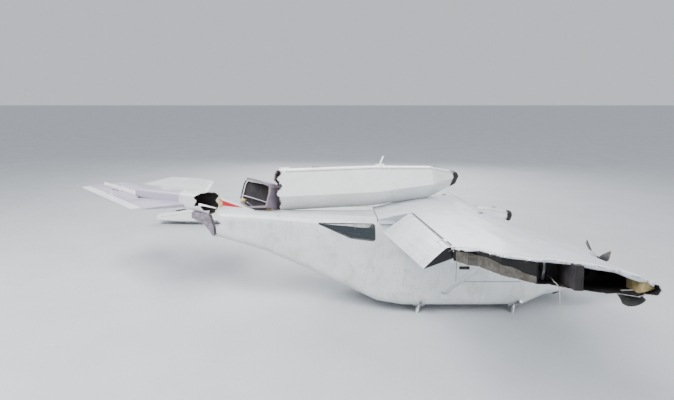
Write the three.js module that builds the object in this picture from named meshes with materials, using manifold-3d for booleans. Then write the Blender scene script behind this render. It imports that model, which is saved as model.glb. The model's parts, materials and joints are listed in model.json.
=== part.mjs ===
// Wrecked two-seat floatplane, millimetres, nose +X, port +Y, up +Z, lying on its belly on the floor
import * as THREE from "three";
import { mergeVertices } from "three/addons/utils/BufferGeometryUtils.js";
import Module from "manifold-3d";

const wasm = await Module();
wasm.setup();

// Gaps
const seatGap = 0.3; // between pieces that touch
const moveGap = 6; // round a piece that moves

// How the wreck lies
const rollDegrees = 5.5; // starboard side up
const crushDepth = 4; // flat worn into whatever lies on the floor

// Cabin
const cabinHalf = 550;
const roofZ = 1000;
const wall = 28;
const cabinRearX = -1410;
const firewallX = 640;

// Wing
const chord = 1400;
const camber = 0.03;
const camberAt = 0.4;
const thickness = 0.125;
const chordLineZ = 1052;
const dihedralDegrees = 1;
const hingeShare = 0.74; // of the chord, from the leading edge
const trailingSweep = 0.065; // mm that the chord loses for each mm outboard
const portSpan = 3900; // outboard of the root
const starboardSpan = 3100; // to the furthest point of the tear
const flapInner = 14;
const flapOuter = 2150;
const aileronOuter = 3560;
const flapDroop = 25;
const skin = 9;

// Rear fuselage and tail
const breakX = -3400;
const tailYaw = -14; // the tail cone swings to port
const tailRise = 6; // and its back end rises
const tailZ = 1180;
const stabiliserSpan = 1960;
const stabiliserChord = 620;
const tabChord = 115;
const finHeight = 960;

// Floats
const floatLength = 4800;
const floatHalf = 310;
const floatDepth = 500;
const chineZ = 110;

// Propeller
const thrustZ = 430;
const hubX = 1412;
const hubRadius = 62;

const finish = {
  white: { color: 0xe9ebee, roughness: 0.35, metalness: 0 },
  floatWhite: { color: 0xf2f3f4, roughness: 0.4, metalness: 0 },
  mauve: { color: 0xcfcbd8, roughness: 0.4, metalness: 0 },
  glass: { color: 0x30363c, roughness: 0.1, metalness: 0 },
  darkMetal: { color: 0x3a3d42, roughness: 0.6, metalness: 0.6 },
  metal: { color: 0x9da2a8, roughness: 0.45, metalness: 0.8 },
  black: { color: 0x202226, roughness: 0.7, metalness: 0 },
  cloth: { color: 0x3c4350, roughness: 0.95, metalness: 0 },
  skinTorn: { color: 0x8d8290, roughness: 0.7, metalness: 0 },
};

const radians = THREE.MathUtils.degToRad;
const object = new THREE.Group();
const airframe = new THREE.Group();
airframe.rotation.x = -radians(rollDegrees);
object.add(airframe);

function solidFrom(geometry) {
  geometry.deleteAttribute("normal");
  geometry.deleteAttribute("uv");
  const merged = mergeVertices(geometry, 1e-3);
  const vertProperties = new Float32Array(merged.attributes.position.array);
  const triVerts = new Uint32Array(merged.index.array);
  return new wasm.Manifold(new wasm.Mesh({ numProp: 3, vertProperties, triVerts }));
}

function addNode(name, solid, look, parent = airframe) {
  const mesh = solid.getMesh();
  const geometry = new THREE.BufferGeometry();
  geometry.setAttribute("position", new THREE.BufferAttribute(mesh.vertProperties, 3));
  geometry.setIndex(new THREE.BufferAttribute(mesh.triVerts, 1));
  const node = new THREE.Mesh(geometry, new THREE.MeshStandardMaterial(look));
  node.name = name;
  parent.add(node);
  return node;
}

function boxOf(x0, x1, y0, y1, z0, z1) {
  const geometry = new THREE.BoxGeometry(x1 - x0, y1 - y0, z1 - z0);
  return solidFrom(geometry.translate((x0 + x1) / 2, (y0 + y1) / 2, (z0 + z1) / 2));
}

// An outline drawn in the plane that the name gives, run along the third axis
function prism(outline, plane, from, to) {
  const shape = new THREE.Shape(outline.map(([a, b]) => new THREE.Vector2(a, b)));
  const geometry = new THREE.ExtrudeGeometry(shape, { depth: to - from, bevelEnabled: false });
  const basis = new THREE.Matrix4();
  const x = new THREE.Vector3(1, 0, 0);
  const y = new THREE.Vector3(0, 1, 0);
  const z = new THREE.Vector3(0, 0, 1);
  if (plane === "xy") {
    geometry.translate(0, 0, from);
  } else if (plane === "xz") {
    geometry.applyMatrix4(basis.makeBasis(x, z, y.clone().negate())).translate(0, to, 0);
  } else {
    geometry.applyMatrix4(basis.makeBasis(y, z, x)).translate(from, 0, 0);
  }
  return solidFrom(geometry);
}

function circle(radius, a, b, steps = 20) {
  return Array.from({ length: steps }, (_, i) => {
    const angle = (2 * Math.PI * i) / steps;
    return [a + radius * Math.cos(angle), b + radius * Math.sin(angle)];
  });
}

// Closed solid through loops of equal point counts
function loft(loops) {
  const count = loops[0].length;
  const positions = loops.flat().flatMap((point) => [point.x, point.y, point.z]);
  const faces = [];
  for (let s = 0; s + 1 < loops.length; s++) {
    for (let i = 0; i < count; i++) {
      const a = s * count + i;
      const b = s * count + ((i + 1) % count);
      faces.push([a, b, b + count], [a, b + count, a + count]);
    }
  }
  const normal = new THREE.Vector3();
  loops[0].forEach((point, i) => normal.add(point.clone().cross(loops[0][(i + 1) % count])));
  const flat = (point) => {
    const [nx, ny, nz] = [Math.abs(normal.x), Math.abs(normal.y), Math.abs(normal.z)];
    if (nx >= ny && nx >= nz) return new THREE.Vector2(point.y, point.z);
    return ny >= nz ? new THREE.Vector2(point.z, point.x) : new THREE.Vector2(point.x, point.y);
  };
  for (const [start, sign] of [[0, -1], [(loops.length - 1) * count, 1]]) {
    const outline = loops[start / count].map(flat);
    const turn = Math.sign(THREE.ShapeUtils.area(outline));
    for (const [a, b, c] of THREE.ShapeUtils.triangulateShape(outline, [])) {
      const same = Math.sign(THREE.ShapeUtils.area([outline[a], outline[b], outline[c]])) === turn;
      const [p, q] = same === (sign > 0) ? [b, c] : [c, b];
      faces.push([start + a, start + p, start + q]);
    }
  }
  const at = (i) => new THREE.Vector3(...positions.slice(3 * i, 3 * i + 3));
  const volume = faces.reduce((sum, [a, b, c]) => sum + at(a).dot(at(b).cross(at(c))), 0);
  const turned = volume > 0 ? faces : faces.map(([a, b, c]) => [a, c, b]);
  const geometry = new THREE.BufferGeometry();
  geometry.setAttribute("position", new THREE.Float32BufferAttribute(positions, 3));
  geometry.setIndex(turned.flat());
  return solidFrom(geometry);
}

// Round bar or streamlined bar between two points; wide and deep are half sizes
function bar(from, to, wide, deep = wide, steps = 12) {
  const start = new THREE.Vector3(...from);
  const end = new THREE.Vector3(...to);
  const along = end.clone().sub(start).normalize();
  const side = new THREE.Vector3(1, 0, 0);
  if (Math.abs(along.x) > 0.9) side.set(0, 1, 0);
  side.addScaledVector(along, -side.dot(along)).normalize();
  const up = along.clone().cross(side);
  const ring = (centre) => circle(1, 0, 0, steps).map(([a, b]) =>
    centre.clone().addScaledVector(side, a * wide).addScaledVector(up, b * deep));
  return loft([ring(start), ring(end)]);
}

function joined(...solids) {
  return solids.reduce((sum, solid) => sum.add(solid));
}

// Takes a neighbour away from a piece, with the seating gap all round
function clearOf(piece, ...neighbours) {
  const steps = [[1, 0, 0], [-1, 0, 0], [0, 1, 0], [0, -1, 0], [0, 0, 1], [0, 0, -1]];
  let result = piece;
  for (const neighbour of neighbours) {
    for (const step of steps) {
      result = result.subtract(neighbour.translate(step.map((value) => value * seatGap)));
    }
  }
  return result;
}

// A solid drawn in one group's frame, seen from another group's frame
function inFrameOf(group, solid, from = airframe) {
  object.updateMatrixWorld(true);
  const matrix = group.matrixWorld.clone().invert().multiply(from.matrixWorld);
  return solid.transform(matrix.toArray());
}

function groupAt(parent, position, degrees, order = "ZYX") {
  const group = new THREE.Group();
  group.position.set(...position);
  group.rotation.set(...degrees.map(radians), order);
  parent.add(group);
  return group;
}

function largest(solid) {
  return solid.decompose().sort((a, b) => b.volume() - a.volume())[0];
}

// Everything under the floor, in the airframe's own tilted frame
const lowestZ = -45.5; // of the rounded port chine after the roll
const floorZ = lowestZ + crushDepth;
const underFloor = boxOf(-6000, 3000, -5000, 5000, floorZ - 2000, floorZ)
  .rotate([rollDegrees, 0, 0]);
airframe.position.z = -floorZ;

// Fuselage: x, half width, bottom, top, top corner radius, bottom corner radius
const cabinRows = [
  [firewallX, 430, 90, 740, 150, 90],
  [340, cabinHalf, 8, 842, 140, 90],
  [-60, cabinHalf, 0, roofZ, 60, 90],
  [-1100, cabinHalf, 0, roofZ, 60, 90],
  [cabinRearX, 505, 40, roofZ, 60, 90],
];
const rearRows = [
  [cabinRearX - seatGap, 505, 40, 1046, 190, 90],
  [-2050, 350, 300, 1062, 160, 120],
  [-2800, 215, 590, 1080, 120, 110],
  [breakX - 60, 140, 775, 1090, 90, 90],
];
const cowlRows = [
  [firewallX + seatGap, 430, 90, 740, 150, 90],
  [1000, 385, 140, 690, 150, 110],
  [1250, 290, 190, 625, 130, 110],
  [1385, 175, 265, 560, 110, 100],
];

function roundedLoop([x, half, bottom, top, topRadius, bottomRadius], inset = 0) {
  const corners = [
    [1, top, topRadius, 0], [-1, top, topRadius, 90],
    [-1, bottom, bottomRadius, 180], [1, bottom, bottomRadius, 270],
  ];
  return corners.flatMap(([side, level, radius, first]) => {
    const bend = Math.max(radius - inset, 8);
    const y = side * (half - inset - bend);
    const z = level === top ? top - inset - bend : bottom + inset + bend;
    return [0, 22.5, 45, 67.5, 90].map((step) => {
      const angle = radians(first + step);
      return new THREE.Vector3(x, y + bend * Math.cos(angle), z + bend * Math.sin(angle));
    });
  });
}

function hull(rows, inset = 0) {
  return loft(rows.map((row) => roundedLoop(row, inset)));
}

// Inner space of a hull that stops short of the front by a wall
function hollow(rows, inset, frontWall = 0) {
  const [x, ...rest] = rows[0];
  const front = [[x - frontWall, ...rest], ...rows.slice(1, -1)];
  const last = rows[rows.length - 1];
  return hull([...front, [last[0] - 1, ...last.slice(1)]], inset);
}

// Door and window outlines seen from the side, x and z
const doorOutline = [[-480, 300], [300, 300], [312, 640], [-75, 930], [-480, 930]];
const doorWindow = [[-430, 560], [226, 560], [226, 655], [-90, 878], [-430, 878]];
const rearWindow = [[-1446, 790], [-1446, 975], [-2120, 968], [-1720, 812]];
const windscreenOutline = [[455, 812], [470, 900], [-40, 1100], [-66, 990], [-66, 955], [330, 725]];

function inset(outline, amount) {
  const turn = Math.sign(THREE.ShapeUtils.area(outline.map(([a, b]) => new THREE.Vector2(a, b))));
  return outline.map((point, i) => {
    const before = outline[(i + outline.length - 1) % outline.length];
    const after = outline[(i + 1) % outline.length];
    const first = new THREE.Vector2(point[0] - before[0], point[1] - before[1]).normalize();
    const second = new THREE.Vector2(after[0] - point[0], after[1] - point[1]).normalize();
    const normal = new THREE.Vector2(-first.y - second.y, first.x + second.x).normalize();
    const reach = (turn * amount) / Math.max(0.35, normal.dot(new THREE.Vector2(-first.y, first.x)));
    return [point[0] + normal.x * reach, point[1] + normal.y * reach];
  });
}

const sides = [{ name: "right", sign: -1 }, { name: "left", sign: 1 }];

function sidePrism(outline, sign, reach = cabinHalf + 60, inner = 60) {
  return sign > 0 ? prism(outline, "xz", inner, reach) : prism(outline, "xz", -reach, -inner);
}

// Cabin shell
const cabinOuter = hull(cabinRows);
const cabinWall = cabinOuter.subtract(hollow(cabinRows, wall, wall));
const screenCut = prism(windscreenOutline, "xz", -(cabinHalf + 60), cabinHalf + 60);
let cabin = cabinWall.subtract(screenCut);
const paneWall = cabinOuter.subtract(hollow(cabinRows, 8, 8));
const windscreen = paneWall.intersect(
  prism(inset(windscreenOutline, seatGap), "xz", -(cabinHalf + 60), cabinHalf + 60));

// Doors hang from two hinges at the roof edge and swing out and up
const hingeZ = 930;
const hingeY = cabinHalf + 10;
const doorHinges = [-150, -420]; // x of each hinge
const knuckle = 34;
const knuckleRadius = 9;
for (const { name, sign } of sides) {
  cabin = cabin.subtract(sidePrism(doorOutline, sign, cabinHalf + 60, 460));
  let door = cabinWall.intersect(sidePrism(inset(doorOutline, moveGap), sign, cabinHalf + 60, 460));
  door = door.subtract(sidePrism(doorWindow, sign, cabinHalf + 60, 460));
  for (const x of doorHinges) {
    const pivot = circle(knuckleRadius, sign * hingeY, hingeZ, 12);
    const fixedLeaf = [[sign * (cabinHalf - 12), hingeZ + 8], [sign * hingeY, hingeZ + 2],
      [sign * (hingeY + 7), hingeZ + 2], [sign * (cabinHalf - 2), hingeZ + 40],
      [sign * (cabinHalf - 14), hingeZ + 40]];
    const movingLeaf = [[sign * (cabinHalf - 10), hingeZ - 14], [sign * hingeY, hingeZ - 2],
      [sign * (hingeY + 7), hingeZ - 2], [sign * (cabinHalf + 5), hingeZ - 46],
      [sign * (cabinHalf - 10), hingeZ - 46]];
    cabin = joined(cabin, prism(pivot, "yz", x, x + knuckle), prism(fixedLeaf, "yz", x, x + knuckle));
    door = joined(door, prism(pivot, "yz", x - seatGap - knuckle, x - seatGap),
      prism(movingLeaf, "yz", x - seatGap - knuckle, x - seatGap));
  }
  addNode(`door_${name}`, door, finish.white);
  const pane = paneWall.intersect(sidePrism(inset(doorWindow, seatGap), sign, cabinHalf + 60, 460));
  addNode(`door_window_${name}`, pane, finish.glass);
}
cabin = cabin.subtract(underFloor);
addNode("cabin_shell", largest(cabin), finish.white);
addNode("windscreen", windscreen, finish.glass);

// Wing section, x back from the leading edge at 0, z about the chord line
function airfoilZ(share) {
  const t = thickness / 0.2;
  const half = t * (0.2969 * Math.sqrt(share) - 0.126 * share - 0.3516 * share ** 2
    + 0.2843 * share ** 3 - 0.1015 * share ** 4);
  const line = share < camberAt
    ? (camber / camberAt ** 2) * (2 * camberAt * share - share ** 2)
    : (camber / (1 - camberAt) ** 2) * (1 - 2 * camberAt + 2 * camberAt * share - share ** 2);
  return [chord * (line + half), chord * (line - half)];
}

const stations = Array.from({ length: 14 }, (_, i) => (1 - Math.cos((Math.PI * i) / 13)) / 2);
const upperSide = stations.map((share) => [-chord * share, airfoilZ(share)[0]]);
const lowerSide = stations.map((share) => [-chord * share, airfoilZ(share)[1]]);
const airfoil = [...upperSide.slice().reverse(), ...lowerSide.slice(1)];
const hingeX = -chord * hingeShare;
const [hingeTop, hingeBottom] = airfoilZ(hingeShare);
const wingHingeZ = (hingeTop + hingeBottom) / 2;
const noseRadius = (hingeTop - hingeBottom) / 2 - 1.5;

function alongWing(outline, sign, from, to) {
  return sign > 0 ? prism(outline, "xz", from, to) : prism(outline, "xz", -to, -from);
}

// The section at a station: behind the hinge line it grows shorter outboard
function wingLoop(sign, y, length = 1, depth = 1) {
  const rear = 1 - (trailingSweep * y) / (chord + hingeX);
  return airfoil.map(([x, z]) => {
    const swept = x < hingeX ? hingeX + (x - hingeX) * rear : x;
    return new THREE.Vector3((swept + chord / 2) * length - chord / 2, sign * y, z * depth);
  });
}

function wingBetween(sign, from, to) {
  return loft([wingLoop(sign, from), wingLoop(sign, to)]);
}

// Space behind the hinge line for a flap or aileron
function bay(sign, from, to) {
  const back = [[hingeX, -200], [hingeX, 200], [-chord - 50, 200], [-chord - 50, -200]];
  return joined(alongWing(back, sign, from, to),
    alongWing(circle(noseRadius + moveGap, hingeX, wingHingeZ, 28), sign, from, to));
}

// Hinges: half sizes and radii for a wing surface, the rudder and the tab
const wingHinge = { x: hingeX, z: wingHingeZ, nose: noseRadius, pin: 7, lug: 17, half: 4, slot: 8 };
const rudderHinge = { x: 0, z: 0, nose: 17, pin: 4, lug: 9, half: 3, slot: 6 };
const tabHinge = { x: 0, z: 0, nose: 11, pin: 3, lug: 7, half: 3, slot: 6 };

// Slots a surface for its lugs, leaves a pin across each slot, and gives the lugs back
function hung(surface, run, hinge, stations) {
  const { x, z, nose, pin, lug, half, slot } = hinge;
  let lugs = null;
  for (const y of stations) {
    const back = x - lug - 6;
    const front = x + nose + 40;
    const gap = [[back, z - 90], [back, z + 90], [front, z + 90], [front, z - 90]];
    surface = surface.subtract(run(gap, y - slot, y + slot));
    surface = surface.add(run(circle(pin, x, z, 12), y - slot - 2, y + slot + 2));
    const reach = x + nose + moveGap + 6;
    const arm = [[x, z - lug], [x, z + lug], [reach, z + lug], [reach, z - lug]];
    const plate = run(arm, y - half, y + half).add(run(circle(lug, x, z, 16), y - half, y + half))
      .subtract(run(circle(pin + seatGap, x, z, 12), y - slot, y + slot));
    lugs = lugs ? lugs.add(plate) : plate;
  }
  return { surface, lugs };
}

// A wing's flap or aileron, drawn undrooped
function controlSurface(sign, from, to, stations) {
  const run = (outline, start, end) => alongWing(outline, sign, start, end);
  const back = [[hingeX, -200], [hingeX, 200], [-chord - 50, 200], [-chord - 50, -200]];
  const body = wingBetween(sign, from, to).intersect(run(back, from - 1, to + 1));
  return hung(body.add(run(circle(noseRadius, hingeX, wingHingeZ, 24), from, to)), run, wingHinge, stations);
}

// A flat tapered surface behind its hinge, such as a rudder or tab; span along Y
function flatSurface(from, to, hinge, depth, stations) {
  const run = (outline, start, end) => prism(outline, "xz", start, end);
  const wedge = [[0, hinge.nose], [0, -hinge.nose], [-depth, -2], [-depth, 2]];
  return hung(run(wedge, from, to).add(run(circle(hinge.nose, 0, 0, 16), from, to)), run, hinge, stations);
}

function turnedAboutHinge(solid, degrees) {
  return solid.translate([-hingeX, 0, -wingHingeZ]).rotate([0, degrees, 0])
    .translate([hingeX, 0, wingHingeZ]);
}

const flapHinges = [300, 1850];
const aileronHinges = [2450, 3300];

function wingGroup(sign) {
  const group = new THREE.Group();
  group.position.set(0, sign * (cabinHalf + seatGap), chordLineZ);
  group.rotation.x = sign * radians(dihedralDegrees);
  airframe.add(group);
  return group;
}

// The root rib stands upright against the centre section
function rootCut(sign) {
  const inboard = sign > 0 ? boxOf(-1600, 200, -300, 0, -400, 400) : boxOf(-1600, 200, 0, 300, -400, 400);
  return inboard.rotate([-sign * dihedralDegrees, 0, 0]);
}

// Port wing, whole, with a rounded tip
const leftWing = wingGroup(1);
const tipRows = [[portSpan - 150, 1, 1], [portSpan - 60, 0.965, 0.75], [portSpan, 0.9, 0.2]];
const tip = loft(tipRows.map(([y, length, depth]) => wingLoop(1, y, length, depth)));
const leftFlap = controlSurface(1, flapInner + moveGap, flapOuter - moveGap, flapHinges);
const leftAileron = controlSurface(1, flapOuter + moveGap, aileronOuter - moveGap, aileronHinges);
const leftSkin = joined(wingBetween(1, -10, portSpan - 149.9), tip)
  .subtract(bay(1, flapInner, aileronOuter)).subtract(rootCut(1));
const leftSolid = joined(leftSkin, leftFlap.lugs, leftAileron.lugs);
addNode("wing_left", leftSolid, finish.white, leftWing);
addNode("flap_left", turnedAboutHinge(leftFlap.surface, -flapDroop), finish.white, leftWing);
addNode("aileron_left", leftAileron.surface, finish.white, leftWing);

// Starboard wing: hollow at the tear; x and y of the torn line, y outboard of the root
const tearLine = [
  [-1300, 2154], [-1030, 2158], [-940, 2330], [-870, 2350], [-780, 2600], [-700, 2690], [-620, 2800],
  [-540, 2795], [-450, 2880], [-340, 2925], [-260, 2985], [-190, 2970], [-120, 3060], [-60, 3040],
  [-30, starboardSpan], [60, 3070],
];
const pocketFrom = 1500;
const rearSparShare = 0.54;
const rightWing = wingGroup(-1);
const rightFlap = controlSurface(-1, flapInner + moveGap, flapOuter - moveGap, flapHinges);
const beyond = [...tearLine.map(([x, y]) => [x, -y]), [60, -3900], [-1500, -3900], [-1500, -2154]];
const tornAway = prism(beyond, "xy", -400, 400);
const solidWing = wingBetween(-1, -10, starboardSpan + 20)
  .subtract(bay(-1, flapInner, flapOuter + 40)).subtract(rootCut(-1));
const frontShare = stations.filter((share) => share < rearSparShare + 0.02);
const pocketOutline = inset([
  ...frontShare.map((share) => [-chord * share, airfoilZ(share)[0]]).reverse(),
  ...frontShare.slice(1).map((share) => [-chord * share, airfoilZ(share)[1]]),
], skin);
const pocket = alongWing(pocketOutline, -1, pocketFrom, starboardSpan + 60);
const rightSkin = largest(solidWing.subtract(tornAway).subtract(pocket));
addNode("wing_right", joined(rightSkin, rightFlap.lugs), finish.white, rightWing);
addNode("flap_right", turnedAboutHinge(rightFlap.surface, -flapDroop), finish.white, rightWing);

// Spar stub and ribs inside the torn end
const sparX = -0.3 * chord;
const rearSparX = -(rearSparShare - 0.02) * chord;
const webHalf = 5;
const ribYs = [1750, 2080, 2400, 2700];
let innerFrame = joined(
  boxOf(sparX - 26, sparX + 26, -2960, -pocketFrom - seatGap, -200, 200),
  boxOf(rearSparX - webHalf, rearSparX + webHalf, -2760, -pocketFrom - seatGap, -200, 200));
for (const y of ribYs) innerFrame = innerFrame.add(boxOf(-chord, 0, -y - 4, -y, -200, 200));
const pocketRoom = alongWing(inset(pocketOutline, seatGap), -1, pocketFrom + seatGap, starboardSpan + 60);
const lightening = [[-160, 30, 34], [-270, 32, 40], [-600, 40, 42]]; // x, z and radius of each rib's holes
innerFrame = innerFrame.intersect(pocketRoom);
for (const [x, z, radius] of lightening) {
  innerFrame = innerFrame.subtract(alongWing(circle(radius, x, z, 14), -1, 1600, 2900));
}
const sparEnd = boxOf(sparX - 30, sparX + 30, -3000, -2720, -200, 200);
innerFrame = joined(innerFrame.subtract(tornAway), innerFrame.intersect(sparEnd));
// Aileron cable that hangs out of the tear, with its clamp on the last rib
const cableStart = { x: -520, y: -ribYs[3] - 4, z: 4 };
const cableRadius = 3;
const clamp = bar([cableStart.x, cableStart.y + 4, cableStart.z],
  [cableStart.x, cableStart.y - 16, cableStart.z], 9);
const cablePoints = [
  [0, -16.3, 0], [0, -50, -2], [1, -90, -8], [2, -130, -17], [3, -160, -22],
  [4, -182, -30], [5, -196, -46], [6, -206, -70], [7, -211, -100], [8, -214, -140],
  [10, -216, -190], [13, -217, -245], [17, -218, -300], [20, -220, -355], [22, -223, -410],
  [21, -228, -462],
];
const cablePath = new THREE.CatmullRomCurve3(cablePoints.map(([x, y, z]) =>
  new THREE.Vector3(cableStart.x + x, cableStart.y + y, cableStart.z + z)));
const cableSection = new THREE.Shape(circle(cableRadius, 0, 0, 8).map(([a, b]) => new THREE.Vector2(a, b)));
addNode("aileron_cable", solidFrom(new THREE.ExtrudeGeometry(cableSection,
  { steps: 60, extrudePath: cablePath })), finish.metal, rightWing);
addNode("wing_right_frame", largest(innerFrame).add(clamp), finish.metal, rightWing);

// Centre section, the cabin's roof between the two wings
const roofOutline = [
  ...upperSide.slice().reverse().map(([x, z]) => [x, z + chordLineZ]),
  [-18, roofZ + 26], [-66, roofZ + seatGap], [-chord, roofZ + seatGap],
];
const roof = prism(roofOutline, "xz", -cabinHalf, cabinHalf);
addNode("wing_centre", roof, finish.white);

// Rear fuselage with its quarter windows and short dorsal strake, torn open at the back
const rearOuter = hull(rearRows);
const rearWall = 14;
let rear = rearOuter.subtract(loft([
  roundedLoop([rearRows[0][0] + 1, ...rearRows[0].slice(1)], rearWall),
  ...rearRows.slice(1).map((row, i) => roundedLoop([row[0] - (i === 2 ? 1 : 0), ...row.slice(1)], rearWall)),
]));
const strake = prism([[-2900, 1050], [-2950, 1090], [breakX + 20, 1245], [breakX - 60, 1240],
  [breakX - 60, 1050]], "xz", -16, 16);
rear = joined(rear, strake.subtract(hull(rearRows, 8)));
const tornBack = [
  [breakX + 60, 600], [breakX - 20, 780], [breakX + 50, 830], [breakX - 10, 880], [breakX + 70, 940],
  [breakX + 10, 990], [breakX + 60, 1040], [breakX - 10, 1090], [breakX + 40, 1160], [breakX + 15, 1400],
  [breakX - 400, 1400], [breakX - 400, 600],
];
rear = rear.subtract(prism(tornBack, "xz", -600, 600));
for (const { name, sign } of sides) {
  rear = rear.subtract(sidePrism(rearWindow, sign, 700, 200));
  const pane = rearOuter.subtract(loft(rearRows.map((row, i) =>
    roundedLoop([row[0] + (i === 0 ? 1 : 0), ...row.slice(1)], 6))))
    .intersect(sidePrism(inset(rearWindow, seatGap), sign, 700, 200));
  addNode(`rear_window_${name}`, largest(pane), finish.glass);
}
rear = largest(rear);
addNode("rear_fuselage", rear, finish.white);

// Cowling, engine and propeller
const shaftHole = prism(circle(80, 0, thrustZ, 20), "yz", 1300, 1500);
let cowling = hull(cowlRows).subtract(loft(cowlRows.map((row, i) =>
  roundedLoop([row[0] + [-1, 0, 0, -22][i], ...row.slice(1)], 16))));
cowling = cowling.subtract(shaftHole);
for (const sign of [-1, 1]) {
  cowling = cowling.subtract(boxOf(1300, 1500, sign * 118 - 26, sign * 118 + 26, 330, 500));
}
const exhaustCurve = [[930, -150, 240], [930, -150, 112], [900, -152, 76], [850, -155, 58]];
const exhaustRadius = 26;
cowling = cowling.subtract(bar([930, -150, 170], [930, -150, 95], exhaustRadius + 9));
addNode("cowling", cowling, finish.white);
const shaft = prism(circle(34, 0, thrustZ, 16), "yz", 1100, hubX - seatGap);
const engine = joined(boxOf(firewallX + seatGap, 1150, -230, 230, 230, 560), shaft);
addNode("engine_block", engine, finish.darkMetal);
const exhaust = joined(...exhaustCurve.slice(1).map((point, i) =>
  bar(exhaustCurve[i], point, exhaustRadius)));
addNode("exhaust_pipe", largest(clearOf(exhaust, engine)), finish.darkMetal);

const bladeReach = [372, 250, 318]; // each blade is snapped at its own length
const firstBlade = 68; // degrees from upright
let propeller = prism(circle(hubRadius, 0, thrustZ, 24), "yz", hubX, hubX + 60);
bladeReach.forEach((reach, i) => {
  const rows = [[30, 26, 26, 8], [90, 34, 22, 30], [170, 62, 14, 26], [reach, 66, 10, 20]];
  const blade = loft(rows.map(([radius, half, deep, pitch]) =>
    circle(1, 0, 0, 12).map(([a, b]) => {
      const turn = radians(90 - pitch);
      const y = a * half * Math.sin(turn) + b * deep * Math.cos(turn);
      const x = a * half * Math.cos(turn) - b * deep * Math.sin(turn);
      return new THREE.Vector3(hubX + 30 + x * 0.8, y, radius + a * 14 * (radius === reach));
    })));
  propeller = propeller.add(blade.rotate([i * 120 + firstBlade, 0, 0]).translate([0, 0, thrustZ]));
});
addNode("propeller", propeller, finish.black);
const spinnerProfile = [[0, 0], [hubRadius - 4, 0], [hubRadius - 10, 40], [40, 84], [20, 104], [0, 112]];
const spinnerGeometry = new THREE.LatheGeometry(
  spinnerProfile.map(([radius, height]) => new THREE.Vector2(radius, height)), 24);
spinnerGeometry.rotateZ(-Math.PI / 2).translate(hubX + 60 + seatGap, 0, thrustZ);
addNode("spinner", solidFrom(spinnerGeometry), finish.white);

// Seats, panel and stick
const innerRoom = hollow(cabinRows, wall + seatGap, wall + seatGap);
const seatHalf = 212;
const seatOutline = [[-70, 0], [-70, 300], [-110, 350], [-480, 330], [-560, 700], [-600, 800],
  [-660, 800], [-650, 600], [-600, 240], [-520, 0]];
for (const { name, sign } of sides) {
  const seat = prism(seatOutline, "xz", -seatHalf, seatHalf).translate([0, sign * 238, 0]);
  addNode(`seat_${name}`, seat.intersect(innerRoom), finish.cloth);
}
const panelOutline = [[420, 470], [332, 500], [322, 730], [345, 752], [420, 740]];
addNode("instrument_panel", prism(panelOutline, "xz", -600, 600).intersect(innerRoom), finish.black);
const stick = joined(boxOf(20, 110, -24, 24, 10, 70),
  bar([65, 0, 60], [40, 0, 480], 11), bar([42, 0, 450], [30, 0, 580], 19));
addNode("control_stick", stick.intersect(innerRoom), finish.black);

// Lift struts from the lower fuselage to the wing spar
const strutFoot = { x: -620, y: cabinHalf - 30, z: 150 };
const strutReach = 1750; // outboard of the root
for (const { name, sign } of sides) {
  const rise = Math.tan(radians(dihedralDegrees)) * strutReach;
  const top = [sparX - 40, sign * (cabinHalf + strutReach), chordLineZ + rise];
  const foot = [strutFoot.x, sign * strutFoot.y, strutFoot.z];
  const reach = cabinHalf + 42;
  const lower = boxOf(foot[0] - 48, foot[0] + 48, sign > 0 ? 0 : -reach, sign > 0 ? reach : 0,
    foot[2] - 42, foot[2] + 62);
  const wingBody = alongWing(airfoil, sign, 0, 2600).rotate([sign * dihedralDegrees, 0, 0])
    .translate([0, sign * (cabinHalf + seatGap), chordLineZ]);
  const upper = boxOf(top[0] - 60, top[0] + 60, top[1] - 26, top[1] + 26, top[2] - 130, top[2]);
  const strut = joined(bar(foot, top, 44, 17, 16), lower, upper);
  addNode(`lift_strut_${name}`, largest(clearOf(strut, cabinOuter, wingBody)), finish.white);
}

// What is left of the float struts: cross tubes under the belly, bent down on the starboard side
for (const [name, x] of [["front", 250], ["rear", -900]]) {
  const foot = joined(
    boxOf(x - 26, x + 26, -455, 20, -34, 20), bar([x, -440, 10], [x - 30, -505, -110], 28),
    bar([x, -430, 0], [x + 26, -640, 90], 20), boxOf(x - 70, x + 70, -470, -380, -16, 20));
  addNode(`float_strut_${name}`, largest(clearOf(foot, cabinOuter).subtract(underFloor)), finish.metal);
}

// Tail, broken and swung to port
const tail = groupAt(airframe, [breakX - 66, 30, tailZ], [4, tailRise, tailYaw]);
const coneRows = [
  [0, 128, -150, 128, 80, 80],
  [-500, 92, -112, 96, 60, 60],
  [-1120, 46, -60, 52, 34, 34],
];
const coneOuter = hull(coneRows);
const coneTear = [[40, -300], [-30, -120], [14, -60], [-46, 0], [0, 70], [-60, 140], [40, 300]];
let cone = coneOuter.subtract(loft([
  roundedLoop([1, ...coneRows[0].slice(1)], 12), roundedLoop([-380, 100, -120, 104, 66, 66], 12)]));
// The starboard half of the cone's front is torn away further back
const sideTear = [[60, -70], [-90, -96], [-150, -40], [-232, -60], [-196, 20], [-250, 60], [-170, 110],
  [-90, 124], [-60, 200], [60, 200]];
cone = cone.subtract(prism([...coneTear, [300, 300], [300, -300]], "xz", -300, 300));
cone = largest(cone.subtract(prism(sideTear, "xz", -300, 24)));
addNode("tail_cone", cone, finish.white, tail);

// Skin torn off the underside of the rear fuselage still holds the tail cone
const tornStrip = [[-3150, 684], [-3400, 752], [-3478, 760], [-3570, 900], [-3740, 995], [-3740, 1070],
  [-3520, 1040], [-3470, 880], [-3440, 800], [-3150, 760]];
const tornSkin = clearOf(prism(tornStrip, "xz", -46, 74), rearOuter, inFrameOf(airframe, coneOuter, tail));
addNode("torn_skin", largest(tornSkin), finish.skinTorn);

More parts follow.
